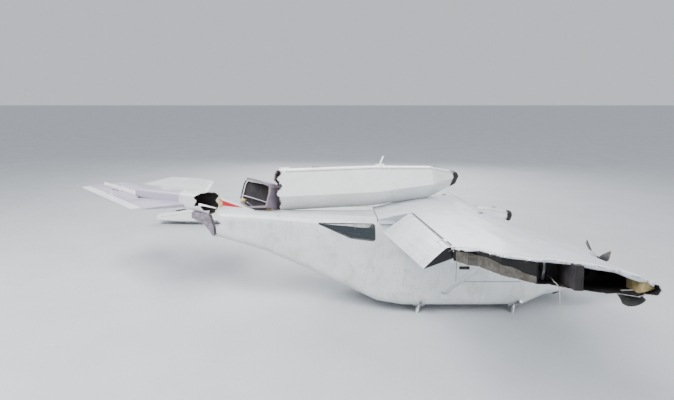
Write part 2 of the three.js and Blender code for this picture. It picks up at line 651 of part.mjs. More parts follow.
// Fin folded over to port about its root, with the rudder behind it
const finFold = 92.5;
const finBack = -640;
const finRake = 60; // of the hinge line, over the fin's height
const rudderDepth = 265;
const finGroup = groupAt(tail, [-140, 84, 96], [-finFold, 0, 4.2]);
const finRows = [[-30, 0, finBack, 34], [finHeight, -330, finBack - finRake, 22]];
const finLoops = finRows.map(([z, front, back, half]) => {
  const length = front - back;
  const outline = [[0, 0], [0.06, 0.55], [0.2, 0.95], [0.45, 1], [1, 0.82]];
  const port = outline.map(([share, width]) => [front - share * length, width * half]);
  const starboard = port.slice(1).reverse().map(([x, y]) => [x, -y]);
  return [...port, ...starboard].map(([x, y]) => new THREE.Vector3(x, y, z));
});
const finLean = THREE.MathUtils.radToDeg(Math.atan2(finRake, finHeight));
const rudderX = finBack - rudderHinge.nose - moveGap - 4;
const rudderGroup = groupAt(finGroup, [rudderX, 0, 0], [90, -finLean, 0], "YXZ");
const rudder = flatSurface(90, finHeight - 4, rudderHinge, rudderDepth, [260, 800]);
const fin = joined(loft(finLoops), inFrameOf(finGroup, rudder.lugs, rudderGroup));
addNode("fin", largest(clearOf(fin, inFrameOf(finGroup, coneOuter, tail))), finish.white, finGroup);
addNode("rudder", rudder.surface, finish.white, rudderGroup);

// Stabiliser, twisted on its broken pivot, with a tab along its whole trailing edge
const halfSpan = stabiliserSpan / 2;
const stabFront = stabiliserChord / 2;
const stabBack = -stabFront;
const stabGroup = groupAt(airframe, [breakX - 1270, 600, tailZ + 42], [4.6, 0, 43]);
const stabOutline = [[stabFront, 0], [stabFront - 30, 26], [stabFront - 180, 38], [stabBack, 15],
  [stabBack, -15], [stabFront - 180, -34], [stabFront - 30, -22]];
const stabTip = 60;
const stabRows = [[-halfSpan, 0.93, 0.5], [-halfSpan + stabTip, 1, 1],
  [halfSpan - stabTip, 1, 1], [halfSpan, 0.93, 0.5]];
const stabBody = loft(stabRows.map(([y, length, depth]) =>
  stabOutline.map(([x, z]) => new THREE.Vector3(stabBack + (x - stabBack) * length, y, z * depth))));
const tab = flatSurface(-halfSpan + stabTip + 4, halfSpan - stabTip - 4, tabHinge, tabChord, [-780, 40, 780]);
const tabGroup = groupAt(stabGroup, [stabBack - tabHinge.nose - moveGap, 0, 0], [0, 0, 0]);
const horn = prism([[-4, 4], [-2, 84], [-22, 88], [-44, 5]], "xz", -5, 5);
const stabWhole = joined(stabBody, inFrameOf(stabGroup, tab.lugs, tabGroup));
const stabiliser = clearOf(stabWhole, inFrameOf(stabGroup, coneOuter, tail));
addNode("stabiliser", largest(stabiliser), finish.mauve, stabGroup);
addNode("trim_tab", tab.surface.add(horn), finish.floatWhite, tabGroup);

// Floats: x, half width, keel, chine, deck
const floatRows = [
  [0, 120, 250, 320, 420],
  [-450, 265, 70, 190, 478],
  [-1300, floatHalf, 0, chineZ, floatDepth],
  [-2600, floatHalf, 0, chineZ, floatDepth],
  [-2620, floatHalf, 55, 150, floatDepth],
  [-4100, 225, 180, 235, 476],
  [-floatLength, 130, 285, 318, 436],
];

function floatLoop([x, half, keel, chine, deck], thick = 0) {
  const right = [[0, keel + thick], [half - thick, chine + thick * 0.6], [half - thick, deck - 90],
    [half - 22 - thick, deck - 40], [half - 80 - thick * 0.6, deck - 8 - thick], [0, deck + 6 - thick]];
  const left = right.slice(1, -1).reverse().map(([y, z]) => [-y, z]);
  return [...right, ...left].map(([y, z]) => new THREE.Vector3(x, y, z));
}

function floatPart(from, to) {
  const rowAt = (x) => {
    const next = floatRows.findIndex((row) => row[0] <= x);
    const [before, after] = [floatRows[Math.max(next - 1, 0)], floatRows[next]];
    const share = before[0] === after[0] ? 0 : (x - before[0]) / (after[0] - before[0]);
    return before.map((value, i) => value + (after[i] - value) * share);
  };
  const inside = floatRows.filter(([x]) => x < from && x > to);
  return [rowAt(from), ...inside, rowAt(to)];
}

const deadrise = THREE.MathUtils.radToDeg(Math.atan2(chineZ, floatHalf));

// A group that sets a piece down on the floor where it lies
function laidAt(solid, degrees, [x, y]) {
  const group = groupAt(object, [x, y, 0], degrees);
  group.position.z = -inFrameOf(object, solid, group).boundingBox().min[2] - crushDepth;
  return group;
}

function offFloor(group, solid) {
  const floor = boxOf(-9000, 9000, -9000, 9000, -900, 0);
  return largest(solid.subtract(inFrameOf(group, floor, object)));
}

const floatWall = 14;
const wholeFloat = loft(floatRows.map((row) => floatLoop(row)));
const fittingXs = [-1150, -2450];
const fittings = fittingXs.map((x) => boxOf(x - 60, x + 60, -170, 170, 440, 530))
  .concat(fittingXs.map((x) => bar([x, -120, 500], [x + 70, -150, 640], 16)));
const rightFloat = laidAt(wholeFloat, [-deadrise, 0, -4], [1350, 3020]);
const waterHinge = { x: 0, z: 0, nose: 14, pin: 4, lug: 9, half: 3, slot: 6 };
const waterRudder = flatSurface(225, 440, waterHinge, 235, [325, 405]);
const sternGroup = groupAt(rightFloat, [-floatLength - waterHinge.nose - moveGap - 4, 0, 0], [90, 0, 0]);
const rightHull = joined(wholeFloat, ...fittings, inFrameOf(rightFloat, waterRudder.lugs, sternGroup));
addNode("float_right", offFloor(rightFloat, rightHull), finish.floatWhite, rightFloat);
addNode("water_rudder_right", waterRudder.surface, finish.metal, sternGroup);

const bowEnd = -2600;
const bowRows = floatPart(0, bowEnd);
const jaggedX = (x, out) => prism([[x - 40, -200], [x + 50, 60], [x - 30, 150], [x + 60, 240], [x - 10, 330],
  [x + 70, 420], [x, 520], [x + 30, 700], [x + out, 700], [x + out, -200]], "xz", -600, 600);
let bow = joined(loft(bowRows.map((row) => floatLoop(row))), fittings[0], fittings[1], fittings[2]);
bow = bow.subtract(loft(floatPart(-2300, bowEnd).map((row, i, all) =>
  floatLoop([row[0] - (i === all.length - 1 ? 1 : 0), ...row.slice(1)], floatWall))));
bow = bow.subtract(jaggedX(bowEnd + 40, -400));
// It lies across the port wing's root and the rear fuselage
const bowGroup = groupAt(object, [-180, 850, 1092.6], [-24, 0, 14]);
const bowSeats = [[leftSolid, leftWing], [roof, airframe], [rear, airframe]]
  .map(([solid, group]) => inFrameOf(bowGroup, solid, group));
const bowPiece = largest(clearOf(bow, ...bowSeats));
addNode("float_left_bow", bowPiece, finish.floatWhite, bowGroup);

const sternFrom = -3280;
let stern = loft(floatPart(sternFrom, -floatLength).map((row) => floatLoop(row)));
stern = stern.subtract(loft(floatPart(sternFrom, -3700).map((row, i) =>
  floatLoop([row[0] + (i === 0 ? 1 : 0), ...row.slice(1)], floatWall))));
stern = stern.subtract(jaggedX(sternFrom - 50, 400));
const sternPiece = laidAt(largest(stern), [-12, -4.5, 4], [-3930 - sternFrom, 4000]);
addNode("float_left_stern", offFloor(sternPiece, stern), finish.floatWhite, sternPiece);

const midRows = floatPart(-2960, -3260);
let middle = loft(midRows.map((row) => floatLoop(row))).subtract(loft(
  midRows.map((row, i) => floatLoop([row[0] + (i === 0 ? 1 : -1), ...row.slice(1)], 26))));
middle = middle.subtract(prism([[-3320, 150], [-3210, 90], [-3150, 170], [-3070, 110], [-3010, 180],
  [-2900, 120], [-2900, 400], [-3320, 400]], "xy", -50, 600));
middle = largest(middle.translate([3110, 0, 0]));
// It stands on the rear fuselage and leans on the bow piece's torn end
const middleGroup = groupAt(object, [-3006, 267.5, 992], [8, 16, 65]);
const middleSeats = [inFrameOf(middleGroup, rear), inFrameOf(middleGroup, bowPiece, bowGroup)];
addNode("float_left_middle", largest(clearOf(middle, ...middleSeats)), finish.skinTorn, middleGroup);

// Origin on the floor under the middle of the box
const box = new THREE.Box3().setFromObject(object, true);
const middleOf = box.getCenter(new THREE.Vector3());
object.position.set(-middleOf.x, -middleOf.y, 0);

export default object;
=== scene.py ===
# Wrecked two-seat floatplane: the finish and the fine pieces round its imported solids
import json
import math
import random

import bmesh
import bpy
from mathutils import Euler, Matrix, Vector
from mathutils.bvhtree import BVHTree

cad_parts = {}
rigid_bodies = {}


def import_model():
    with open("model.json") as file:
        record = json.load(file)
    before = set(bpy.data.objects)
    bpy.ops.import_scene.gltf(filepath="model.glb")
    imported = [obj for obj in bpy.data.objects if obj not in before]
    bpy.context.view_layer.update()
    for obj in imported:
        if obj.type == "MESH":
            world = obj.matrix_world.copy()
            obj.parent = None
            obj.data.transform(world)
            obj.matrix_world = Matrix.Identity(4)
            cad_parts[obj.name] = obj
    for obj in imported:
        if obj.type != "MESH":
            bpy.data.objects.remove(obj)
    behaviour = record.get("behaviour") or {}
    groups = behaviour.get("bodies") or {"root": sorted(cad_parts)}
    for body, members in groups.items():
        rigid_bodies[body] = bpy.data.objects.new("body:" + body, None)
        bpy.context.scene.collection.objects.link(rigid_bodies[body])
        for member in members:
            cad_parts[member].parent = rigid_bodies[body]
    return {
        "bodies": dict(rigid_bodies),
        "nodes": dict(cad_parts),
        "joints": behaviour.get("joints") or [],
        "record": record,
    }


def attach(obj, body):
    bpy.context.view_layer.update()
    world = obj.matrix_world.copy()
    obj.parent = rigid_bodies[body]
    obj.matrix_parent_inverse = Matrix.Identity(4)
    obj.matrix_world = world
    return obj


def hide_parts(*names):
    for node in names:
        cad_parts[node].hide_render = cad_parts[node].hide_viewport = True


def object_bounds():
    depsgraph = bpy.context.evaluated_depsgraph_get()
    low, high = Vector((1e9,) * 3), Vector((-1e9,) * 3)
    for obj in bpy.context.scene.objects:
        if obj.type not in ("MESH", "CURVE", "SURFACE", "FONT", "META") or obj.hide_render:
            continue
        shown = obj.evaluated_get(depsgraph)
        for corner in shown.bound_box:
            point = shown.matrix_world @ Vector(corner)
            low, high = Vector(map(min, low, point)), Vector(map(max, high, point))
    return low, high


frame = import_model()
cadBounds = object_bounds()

mm = 0.001
nodes = frame["nodes"]
jointAt = {joint["name"]: joint for joint in frame["joints"]}

# The airframe lies rolled; its own axes start at the wing's leading edge, at belly height
lie = {
    "roll": 5.5,  # degrees, starboard side up
    "hub": (1.412, 0, 0.43),  # the propeller's hub in the airframe's own axes
    "dihedral": 1.0,
    "wingRoot": (0, 0.5503, 1.052),
    "tail": (-3.466, 0.030, 1.180),
    "tailTurn": (4, 6, -14),
    "fin": (-0.140, 0.084, 0.096),
    "finTurn": (-92.5, 0, 4.2),
    "stabiliser": (-4.670, 0.600, 1.222),
    "stabiliserTurn": (4.6, 0, 43),
    "bow": ((1.8359, 0.3459, 1.0926), (-24, 0, 14)),
    "stern": ((1.3659, 3.4959, 0.1452), (-12, -4.5, 4)),
    "middle": ((-0.9901, -0.2366, 0.9920), (8, 16, 65)),
    "farFloat": ((3.3659, 2.5159, -0.0040), (-19.537, 0, -4)),
}


def turned(degrees):
    return Euler([math.radians(d) for d in degrees]).to_matrix().to_4x4()


def placed(position, degrees=(0, 0, 0)):
    return Matrix.Translation(position) @ turned(degrees)


hubAt = Vector(jointAt["propeller_spin"]["pos_m"])
airframe = placed(hubAt, (-lie["roll"], 0, 0)) @ Matrix.Translation(-Vector(lie["hub"]))
rootX, rootY, rootZ = lie["wingRoot"]
leftWing = airframe @ placed((rootX, rootY, rootZ), (lie["dihedral"], 0, 0))
rightWing = airframe @ placed((rootX, -rootY, rootZ), (-lie["dihedral"], 0, 0))
tail = airframe @ placed(lie["tail"], lie["tailTurn"])
finPlace = tail @ placed(lie["fin"], lie["finTurn"])
stabiliserPlace = airframe @ placed(lie["stabiliser"], lie["stabiliserTurn"])
bowPlace = placed(*lie["bow"])
sternPlace = placed(*lie["stern"])
middlePlace = placed(*lie["middle"])
farFloatPlace = placed(*lie["farFloat"])


def inMm(matrix, x, y, z):
    return matrix @ Vector((x * mm, y * mm, z * mm))


def directionIn(place, x, y, z):
    # a direction that is given in a place's own axes
    return place.to_3x3() @ Vector((x, y, z))


def shifted(place, x, y, z):
    # a place moved along its own axes, in mm
    return place @ Matrix.Translation((x * mm, y * mm, z * mm))


# Camera, at the photo's height and pitch; the frame is 674 by 400
view = {
    "imageWidth": 674,
    "focalPixels": 520,
    "sensorWidth": 36.0,
    "location": (0.127, -6.872, 2.639),
    "pitch": 12.06,  # degrees below the horizon
    "turn": 0.03,
}


def makeCamera():
    data = bpy.data.cameras.new("camera")
    data.sensor_width = view["sensorWidth"]
    data.lens = view["focalPixels"] * view["sensorWidth"] / view["imageWidth"]
    data.clip_end = 200
    camera = bpy.data.objects.new("camera", data)
    camera.location = view["location"]
    camera.rotation_euler = (math.radians(90 - view["pitch"]), 0, math.radians(view["turn"]))
    bpy.context.scene.collection.objects.link(camera)
    bpy.context.scene.camera = camera


makeCamera()
print("camera set")


# Shader helpers
def linear(hexText):
    channels = [int(hexText[i:i + 2], 16) / 255 for i in (0, 2, 4)]
    return tuple(c / 12.92 if c <= 0.04045 else ((c + 0.055) / 1.055) ** 2.4 for c in channels) + (1,)


def addNode(tree, kind, settings=None, links=None):
    node = tree.nodes.new(kind)
    for name, value in (settings or {}).items():
        setattr(node, name, value)
    for key, value in (links or {}).items():
        if isinstance(value, bpy.types.NodeSocket):
            tree.links.new(value, node.inputs[key])
        else:
            node.inputs[key].default_value = value
    return node


def perMetre(millimetres):
    return 1000 / millimetres


def startMaterial(name, sockets):
    material = bpy.data.materials.new(name)
    material.use_nodes = True
    tree = material.node_tree
    tree.nodes.clear()
    output = tree.nodes.new("ShaderNodeOutputMaterial")
    shader = addNode(tree, "ShaderNodeBsdfPrincipled", links=sockets)
    tree.links.new(shader.outputs["BSDF"], output.inputs["Surface"])
    position = addNode(tree, "ShaderNodeTexCoord").outputs["Object"]
    return material, tree, shader, position


def noise(tree, vector, size, detail=4, roughness=0.55, stretch=None):
    if stretch:
        scaled = addNode(tree, "ShaderNodeMapping", links={"Vector": vector, "Scale": stretch})
        vector = scaled.outputs["Vector"]
    return addNode(tree, "ShaderNodeTexNoise", links={
        "Vector": vector, "Scale": perMetre(size), "Detail": detail, "Roughness": roughness}).outputs["Fac"]


def ramp(tree, value, low, high, bottom=0.0, top=1.0):
    return addNode(tree, "ShaderNodeMapRange", {"clamp": True, "interpolation_type": "SMOOTHSTEP"}, {
        "Value": value, "From Min": low, "From Max": high, "To Min": bottom, "To Max": top}).outputs["Result"]


def combine(tree, operation, a, b):
    return addNode(tree, "ShaderNodeMath", {"operation": operation}, {0: a, 1: b}).outputs["Value"]


def mixColour(tree, amount, a, b):
    return addNode(tree, "ShaderNodeMix", {"data_type": "RGBA"}, {0: amount, 6: a, 7: b}).outputs[2]


def bump(tree, shader, height, distance, strength):
    links = {"Height": height, "Distance": distance, "Strength": strength}
    tree.links.new(addNode(tree, "ShaderNodeBump", links=links).outputs["Normal"], shader.inputs["Normal"])


# Bodies that stand open: a line down the middle of each hollow, where along it the tear begins, in mm,
# and the finish of the inside
hollows = {
    "rear_fuselage": {"place": airframe, "line": ((-1410, 0, 543), (-3460, 0, 932)), "torn": (1900, 9000),
                      "inner": "darkLaminateAndShade"},
    "tail_cone": {"place": tail, "line": ((0, 0, 0), (-1120, 0, -4)), "torn": (-200, 420),
                  "inner": "darkLaminateAndShade"},
    "cabin_shell": {"place": airframe, "line": ((-1400, 0, 500), (600, 0, 480)), "inner": "cabinTrim"},
    "door_right": {"place": airframe, "line": ((-1400, 0, 500), (600, 0, 480)), "inner": "cabinTrim"},
    "door_left": {"place": airframe, "line": ((-1400, 0, 500), (600, 0, 480)), "inner": "cabinTrim"},
    "cowling": {"place": airframe, "line": ((640, 0, 430), (1385, 0, 430)), "inner": "darkLaminateAndShade"},
    "wing_right": {"place": rightWing, "line": ((-540, 0, 36), (-540, -3100, 36)), "torn": (2110, 9000),
                   "facing": (-0.59, -0.81, 0), "inner": "wingInsideShade"},
    "float_left_bow": {"place": bowPlace, "line": ((0, 0, 300), (-2600, 0, 250)), "torn": (2450, 9000),
                       "inner": "floatInside"},
    "float_left_stern": {"place": sternPlace, "line": ((-3280, 0, 260), (-4800, 0, 340)), "torn": (-300, 200),
                         "inner": "floatInside"},
    "float_left_middle": {"place": middlePlace, "line": ((-150, 0, 250), (150, 0, 250)), "torn": (-300, 900),
                          "inner": "floatInside"},
}

insides = {
    # dark laminate deepened to near black as painted shade inside the boom, tail cone and cowling
    "darkLaminateAndShade": {"base": "17141a", "tint": "2b2422", "torn": "7d6a58", "roughness": 0.78},
    "cabinTrim": {"base": "787b7e", "tint": "5f6264", "torn": "787b7e", "roughness": 0.88},
    # painted shade: the starboard wing's inside and its torn edge are near black for the shade within the
    # hollow wing
    "wingInsideShade": {"base": "0d0c10", "tint": "191518", "torn": "060607", "roughness": 0.85},
    "floatInside": {"base": "2a242c", "tint": "3d3439", "torn": "8b7f86", "roughness": 0.8},
}


def vectorMath(tree, operation, a, b):
    return addNode(tree, "ShaderNodeVectorMath", {"operation": operation}, {0: a, 1: b}).outputs


# Share of a surface that faces the middle of its own hollow, and share that is the torn edge itself
def insideShares(tree, position, hollow):
    start, end = (inMm(hollow["place"], *point) for point in hollow["line"])
    axis = (end - start).normalized()
    normal = addNode(tree, "ShaderNodeTexCoord").outputs["Normal"]
    offset = vectorMath(tree, "SUBTRACT", position, tuple(start))["Vector"]
    along = vectorMath(tree, "DOT_PRODUCT", offset, tuple(axis))["Value"]
    onAxis = addNode(tree, "ShaderNodeVectorMath", {"operation": "SCALE"}, {0: tuple(axis), 3: along})
    radial = vectorMath(tree, "SUBTRACT", offset, onAxis.outputs["Vector"])["Vector"]
    radial = addNode(tree, "ShaderNodeVectorMath", {"operation": "NORMALIZE"}, {0: radial}).outputs["Vector"]
    inner = ramp(tree, vectorMath(tree, "DOT_PRODUCT", normal, radial)["Value"], -0.04, 0.04, 1, 0)
    if "torn" not in hollow:
        return inner, 0.0
    facing = hollow["place"].to_3x3() @ Vector(hollow["facing"]) if "facing" in hollow else axis
    edge = vectorMath(tree, "DOT_PRODUCT", normal, tuple(facing))["Value"]
    if "facing" not in hollow:
        edge = combine(tree, "ABSOLUTE", edge, 0.0)
    low, high = hollow["torn"]
    within = combine(tree, "MULTIPLY", ramp(tree, along, low * mm - 0.001, low * mm),
                     ramp(tree, along, high * mm, high * mm + 0.001, 1, 0))
    return inner, combine(tree, "MULTIPLY", ramp(tree, edge, 0.46, 0.52), within)


# Lays the finish of an inside and of a torn edge over the outer colour; in the boom, tail cone, cowling and
# starboard wing this darkening of the inward faces is painted shade
def withInside(tree, position, colour, rough, hollow):
    look = insides[hollow["inner"]]
    inner, torn = insideShares(tree, position, hollow)
    stain = ramp(tree, noise(tree, position, 90, 5, 0.65), 0.35, 0.7)
    dark = mixColour(tree, stain, linear(look["base"]), linear(look["tint"]))
    colour = mixColour(tree, inner, colour, dark)
    if "torn" in hollow:
        fibres = ramp(tree, noise(tree, position, 6, 4, 0.6), 0.5, 0.68, 0, 0.7)
        raw = mixColour(tree, fibres, linear(look["torn"]), linear(look["tint"]))
        colour = mixColour(tree, torn, colour, raw)
        inner = combine(tree, "MAXIMUM", inner, torn)
    rough = addNode(tree, "ShaderNodeMix", {"data_type": "FLOAT"}, {0: inner, 2: rough, 3: look["roughness"]})
    return colour, rough.outputs[0], combine(tree, "SUBTRACT", 1.0, inner)


# Paint over glass fibre: a hard gloss dulled by lake film, with runs of dirt, scuffs and low dents
def weatheredPaint(name, look, hollow=None):
    material, tree, shader, position = startMaterial(name, {
        "IOR": 1.47, "Coat Weight": look["coat"], "Coat Roughness": 0.12})
    tone = ramp(tree, noise(tree, position, 420, 3), 0.3, 0.7)
    colour = mixColour(tree, tone, linear(look["base"]), linear(look["tint"]))
    film = ramp(tree, noise(tree, position, 160, 6, 0.65), 0.45, 0.78, 0.0, look["film"])
    colour = mixColour(tree, film, colour, linear(look["dirt"]))
    runs = noise(tree, position, 26, 5, 0.6, stretch=(1, 1, 0.09))
    runs = ramp(tree, runs, 0.55, 0.75, 0.0, look["runs"])
    colour = mixColour(tree, runs, colour, linear(look["dirt"]))
    specks = ramp(tree, noise(tree, position, 7, 2, 0.5), 0.68, 0.78, 0.0, look["specks"])
    colour = mixColour(tree, specks, colour, linear("4b4335"))
    scuffs = noise(tree, position, 9, 3, 0.5, stretch=(0.06, 1, 1))
    scuffs = ramp(tree, scuffs, 0.66, 0.72, 0.0, look["scuffs"])
    colour = mixColour(tree, scuffs, colour, linear("8f8f8c"))
    # a look's mark: the strake's red wedge is paint, the cone's mauve rear and the flap's near-black end are
    # painted shade
    if look.get("mark"):
        colour = mixColour(tree, look["mark"](tree, position), colour, linear(look["markColour"]))
    dull = combine(tree, "ADD", film, combine(tree, "ADD", runs, scuffs))
    rough = ramp(tree, dull, 0.0, 0.7, look["roughness"], 0.72)
    if hollow:
        colour, rough, gloss = withInside(tree, position, colour, rough, hollow)
        tree.links.new(combine(tree, "MULTIPLY", gloss, look["coat"]), shader.inputs["Coat Weight"])
    tree.links.new(colour, shader.inputs["Base Color"])
    tree.links.new(rough, shader.inputs["Roughness"])
    dents = combine(tree, "MULTIPLY", noise(tree, position, 260, 2), look["dents"])
    peel = combine(tree, "MULTIPLY", noise(tree, position, 5, 2), 0.012)
    height = combine(tree, "ADD", dents, peel)
    if look.get("ribPitch"):
        waves = addNode(tree, "ShaderNodeTexWave", {"bands_direction": "Y", "wave_profile": "SIN"}, {
            "Vector": position, "Scale": 1 / (20 * look["ribPitch"] * mm) * 2 * math.pi, "Distortion": 0.0})
        ridge = ramp(tree, waves.outputs["Fac"], 0.9, 1.0, 0.0, look["ribHeight"])
        height = combine(tree, "ADD", height, ridge)
        ripples = noise(tree, position, 24, 4, 0.6, stretch=(0.12, 1, 1))
        height = combine(tree, "ADD", height, combine(tree, "MULTIPLY", ripples, look["ripples"]))
    bump(tree, shader, height, 5 * mm, 0.6)
    return material


def ownAxes(tree, position, place):
    # where a point lies along the own axes of a part that is turned in the world
    back = place.inverted()
    own = addNode(tree, "ShaderNodeMapping", links={
        "Vector": position, "Location": back.to_translation(), "Rotation": back.to_euler()}).outputs["Vector"]
    return addNode(tree, "ShaderNodeSeparateXYZ", links={"Vector": own}).outputs


# Where the marks lie, in metres of the part's own axes, with the slopes of the wedge's upper and lower edge;
# the cone's and the flap end's marks are painted shade
markAt = {
    "strake": {"x": (-3.40, -3.04), "roof": (1.228, 1.232), "roofSlope": 0.125, "floor": (1.148, 1.152),
               "floorSlope": 0.035},
    "cone": (0.44, 0.46),
    "flapEnd": (0.8, 0.9),  # cosine to straight outboard
}


def strakeMark(tree, position):
    # red wedge on the dorsal strake, wide at the break and running out forwards
    values = markAt["strake"]
    parts = ownAxes(tree, position, airframe)
    back, front = values["x"]
    along = addNode(tree, "ShaderNodeMapRange", {"clamp": False}, {
        "Value": parts["X"], "From Min": back, "From Max": front, "To Min": 0.0, "To Max": 1.0})
    along = along.outputs["Result"]
    roof, floor = (combine(tree, "ADD", parts["Z"], combine(tree, "MULTIPLY", along, values[slope]))
                   for slope in ("roofSlope", "floorSlope"))
    roof, floor = ramp(tree, roof, *values["roof"], 1, 0), ramp(tree, floor, *values["floor"])
    within = combine(tree, "MULTIPLY", roof, floor)
    return combine(tree, "MULTIPLY", within, ramp(tree, along, 0.99, 1.0, 1, 0))


def coneMauveShade(tree, position):
    # painted shade: the rear of the tail cone is tinted mauve-grey, as white paint looks in shade there
    aft = combine(tree, "MULTIPLY", ownAxes(tree, position, tail)["X"], -1)
    return ramp(tree, aft, *markAt["cone"])


def flapEndShade(tree, position):
    # painted shade: the flap's outboard end face is near black, for the shade on that end
    normal = addNode(tree, "ShaderNodeTexCoord").outputs["Normal"]
    outboard = tuple(directionIn(rightWing, 0, -1, 0))
    return ramp(tree, vectorMath(tree, "DOT_PRODUCT", normal, outboard)["Value"], *markAt["flapEnd"])


paintLooks = {
    "wingPaint": {"base": "dfe3ea", "tint": "d3d8df", "dirt": "8f9184", "film": 0.30, "runs": 0.10,
                  "specks": 0.35, "scuffs": 0.35, "coat": 0.25, "roughness": 0.34, "dents": 0.9,
                  "ribPitch": 260, "ribHeight": 0.20, "ripples": 0.10},
    "bodyPaint": {"base": "e2e4e6", "tint": "d7dad9", "dirt": "8d8e78", "film": 0.38, "runs": 0.30,
                  "specks": 0.4, "scuffs": 0.4, "coat": 0.3, "roughness": 0.32, "dents": 0.9},
    "mauvePaint": {"base": "c3bccd", "tint": "ada5b8", "dirt": "847d8b", "film": 0.45, "runs": 0.15,
                   "specks": 0.3, "scuffs": 0.4, "coat": 0.2, "roughness": 0.38, "dents": 0.6},
    "floatGelcoat": {"base": "f3f4f4", "tint": "eceeec", "dirt": "a7a582", "film": 0.25, "runs": 0.18,
                     "specks": 0.3, "scuffs": 0.35, "coat": 0.45, "roughness": 0.26, "dents": 0.7},
    "tabPaint": {"base": "eeeef1", "tint": "e4e3ea", "dirt": "8f8a92", "film": 0.2, "runs": 0.1,
                 "specks": 0.2, "scuffs": 0.3, "coat": 0.3, "roughness": 0.3, "dents": 0.3},
    "torn": {"base": "a79cab", "tint": "85798a", "dirt": "5d5348", "film": 0.5, "runs": 0.3,
             "specks": 0.4, "scuffs": 0.5, "coat": 0.05, "roughness": 0.55, "dents": 1.2},
}
paintLooks["rearPaint"] = dict(paintLooks["bodyPaint"], mark=strakeMark, markColour="c4142f")
# the cone's mark is painted shade: its rear is tinted mauve-grey
paintLooks["conePaint"] = dict(paintLooks["bodyPaint"], film=0.3, runs=0.2, mark=coneMauveShade,
                               markColour="aea6b8")
# the flap's mark is painted shade: its outboard end face is near black
paintLooks["flapPaint"] = dict(paintLooks["wingPaint"], mark=flapEndShade, markColour="1b1a1e")


# Extruded aluminium: a soft lengthwise grain, dulled by water to a pale oxide bloom
def bareAluminium():
    material, tree, shader, position = startMaterial("bareAluminium", {"Metallic": 1.0})
    bloom = ramp(tree, noise(tree, position, 45, 5, 0.65), 0.4, 0.72)
    colour = mixColour(tree, bloom, linear("b4b7ba"), linear("8f9290"))
    tree.links.new(colour, shader.inputs["Base Color"])
    grain = noise(tree, position, 2.5, 2, 0.5, stretch=(1, 1, 0.08))
    rough = combine(tree, "ADD", bloom, combine(tree, "MULTIPLY", grain, 0.4))
    tree.links.new(ramp(tree, rough, 0, 1.3, 0.28, 0.6), shader.inputs["Roughness"])
    bump(tree, shader, grain, 0.3 * mm, 0.4)
    return material


# Zinc primer on a wing's inner structure: near black green, matt, rubbed to metal on a few spots
def darkPrimer():
    material, tree, shader, position = startMaterial("darkPrimer", {"IOR": 1.5})
    patch = ramp(tree, noise(tree, position, 60, 5, 0.65), 0.4, 0.7)
    colour = mixColour(tree, patch, linear("1b1d1c"), linear("2c2b29"))
    rub = ramp(tree, noise(tree, position, 11, 4, 0.7), 0.66, 0.74, 0, 0.8)
    tree.links.new(mixColour(tree, rub, colour, linear("8a8c8d")), shader.inputs["Base Color"])
    tree.links.new(ramp(tree, rub, 0, 0.8, 0.72, 0.4), shader.inputs["Roughness"])
    tree.links.new(rub, shader.inputs["Metallic"])
    bump(tree, shader, noise(tree, position, 5, 3), 0.4 * mm, 0.5)
    return material


# Carbon and resin blade: satin black with a twill that just shows, dusty where it scraped
def carbonLaminate():
    material, tree, shader, position = startMaterial("carbonLaminate", {
        "IOR": 1.5, "Coat Weight": 0.3, "Coat Roughness": 0.25})
    twill = addNode(tree, "ShaderNodeTexWave", {"bands_direction": "DIAGONAL"}, {
        "Vector": position, "Scale": perMetre(14), "Distortion": 0.4}).outputs["Fac"]
    scrape = ramp(tree, noise(tree, position, 12, 5, 0.7), 0.55, 0.75, 0, 0.6)
    colour = mixColour(tree, twill, linear("151617"), linear("222426"))
    tree.links.new(mixColour(tree, scrape, colour, linear("5a5955")), shader.inputs["Base Color"])
    tree.links.new(ramp(tree, scrape, 0, 0.6, 0.38, 0.7), shader.inputs["Roughness"])
    bump(tree, shader, twill, 0.2 * mm, 0.4)
    return material


# Torn glass cloth and resin: mauve-grey, matt, with pale broken fibres and stains
def tornLaminate():
    material, tree, shader, position = startMaterial("tornLaminate", {"IOR": 1.5, "Roughness": 0.74})
    stain = ramp(tree, noise(tree, position, 55, 6, 0.7), 0.35, 0.7)
    colour = mixColour(tree, stain, linear("968b9b"), linear("6a6069"))
    fibres = ramp(tree, noise(tree, position, 4, 3, 0.6, stretch=(0.15, 1, 1)), 0.6, 0.7, 0, 0.6)
    colour = mixColour(tree, fibres, colour, linear("d8cfc2"))
    tree.links.new(colour, shader.inputs["Base Color"])
    bump(tree, shader, combine(tree, "ADD", fibres, noise(tree, position, 12, 4)), 1.2 * mm, 0.8)
    return material


# Polyester webbing: dark blue-grey, ribbed across, matt
def strapWebbing():
    material, tree, shader, position = startMaterial("strapWebbing", {
        "Roughness": 0.86, "Sheen Weight": 0.2, "Sheen Roughness": 0.5})
    ribs = addNode(tree, "ShaderNodeTexWave", {"bands_direction": "DIAGONAL"}, {
        "Vector": position, "Scale": perMetre(2.8) / 3}).outputs["Fac"]
    tree.links.new(mixColour(tree, ramp(tree, ribs, 0, 1, 0, 0.6), linear("1d2430"), linear("4a5566")),
                   shader.inputs["Base Color"])
    bump(tree, shader, ribs, 0.4 * mm, 0.6)
    return material


# Rigid polyurethane foam: tan, crumbly, full of small open cells
def foamCore():
    material, tree, shader, position = startMaterial("foamCore", {"IOR": 1.4, "Roughness": 0.95})
    cells = addNode(tree, "ShaderNodeTexVoronoi", links={"Vector": position, "Scale": perMetre(4)})
    stain = ramp(tree, noise(tree, position, 50, 5), 0.4, 0.7)
    colour = mixColour(tree, stain, linear("c9b483"), linear("94825a"))
    tree.links.new(colour, shader.inputs["Base Color"])
    bump(tree, shader, cells.outputs["Distance"], 1.6 * mm, 0.9)
    return material


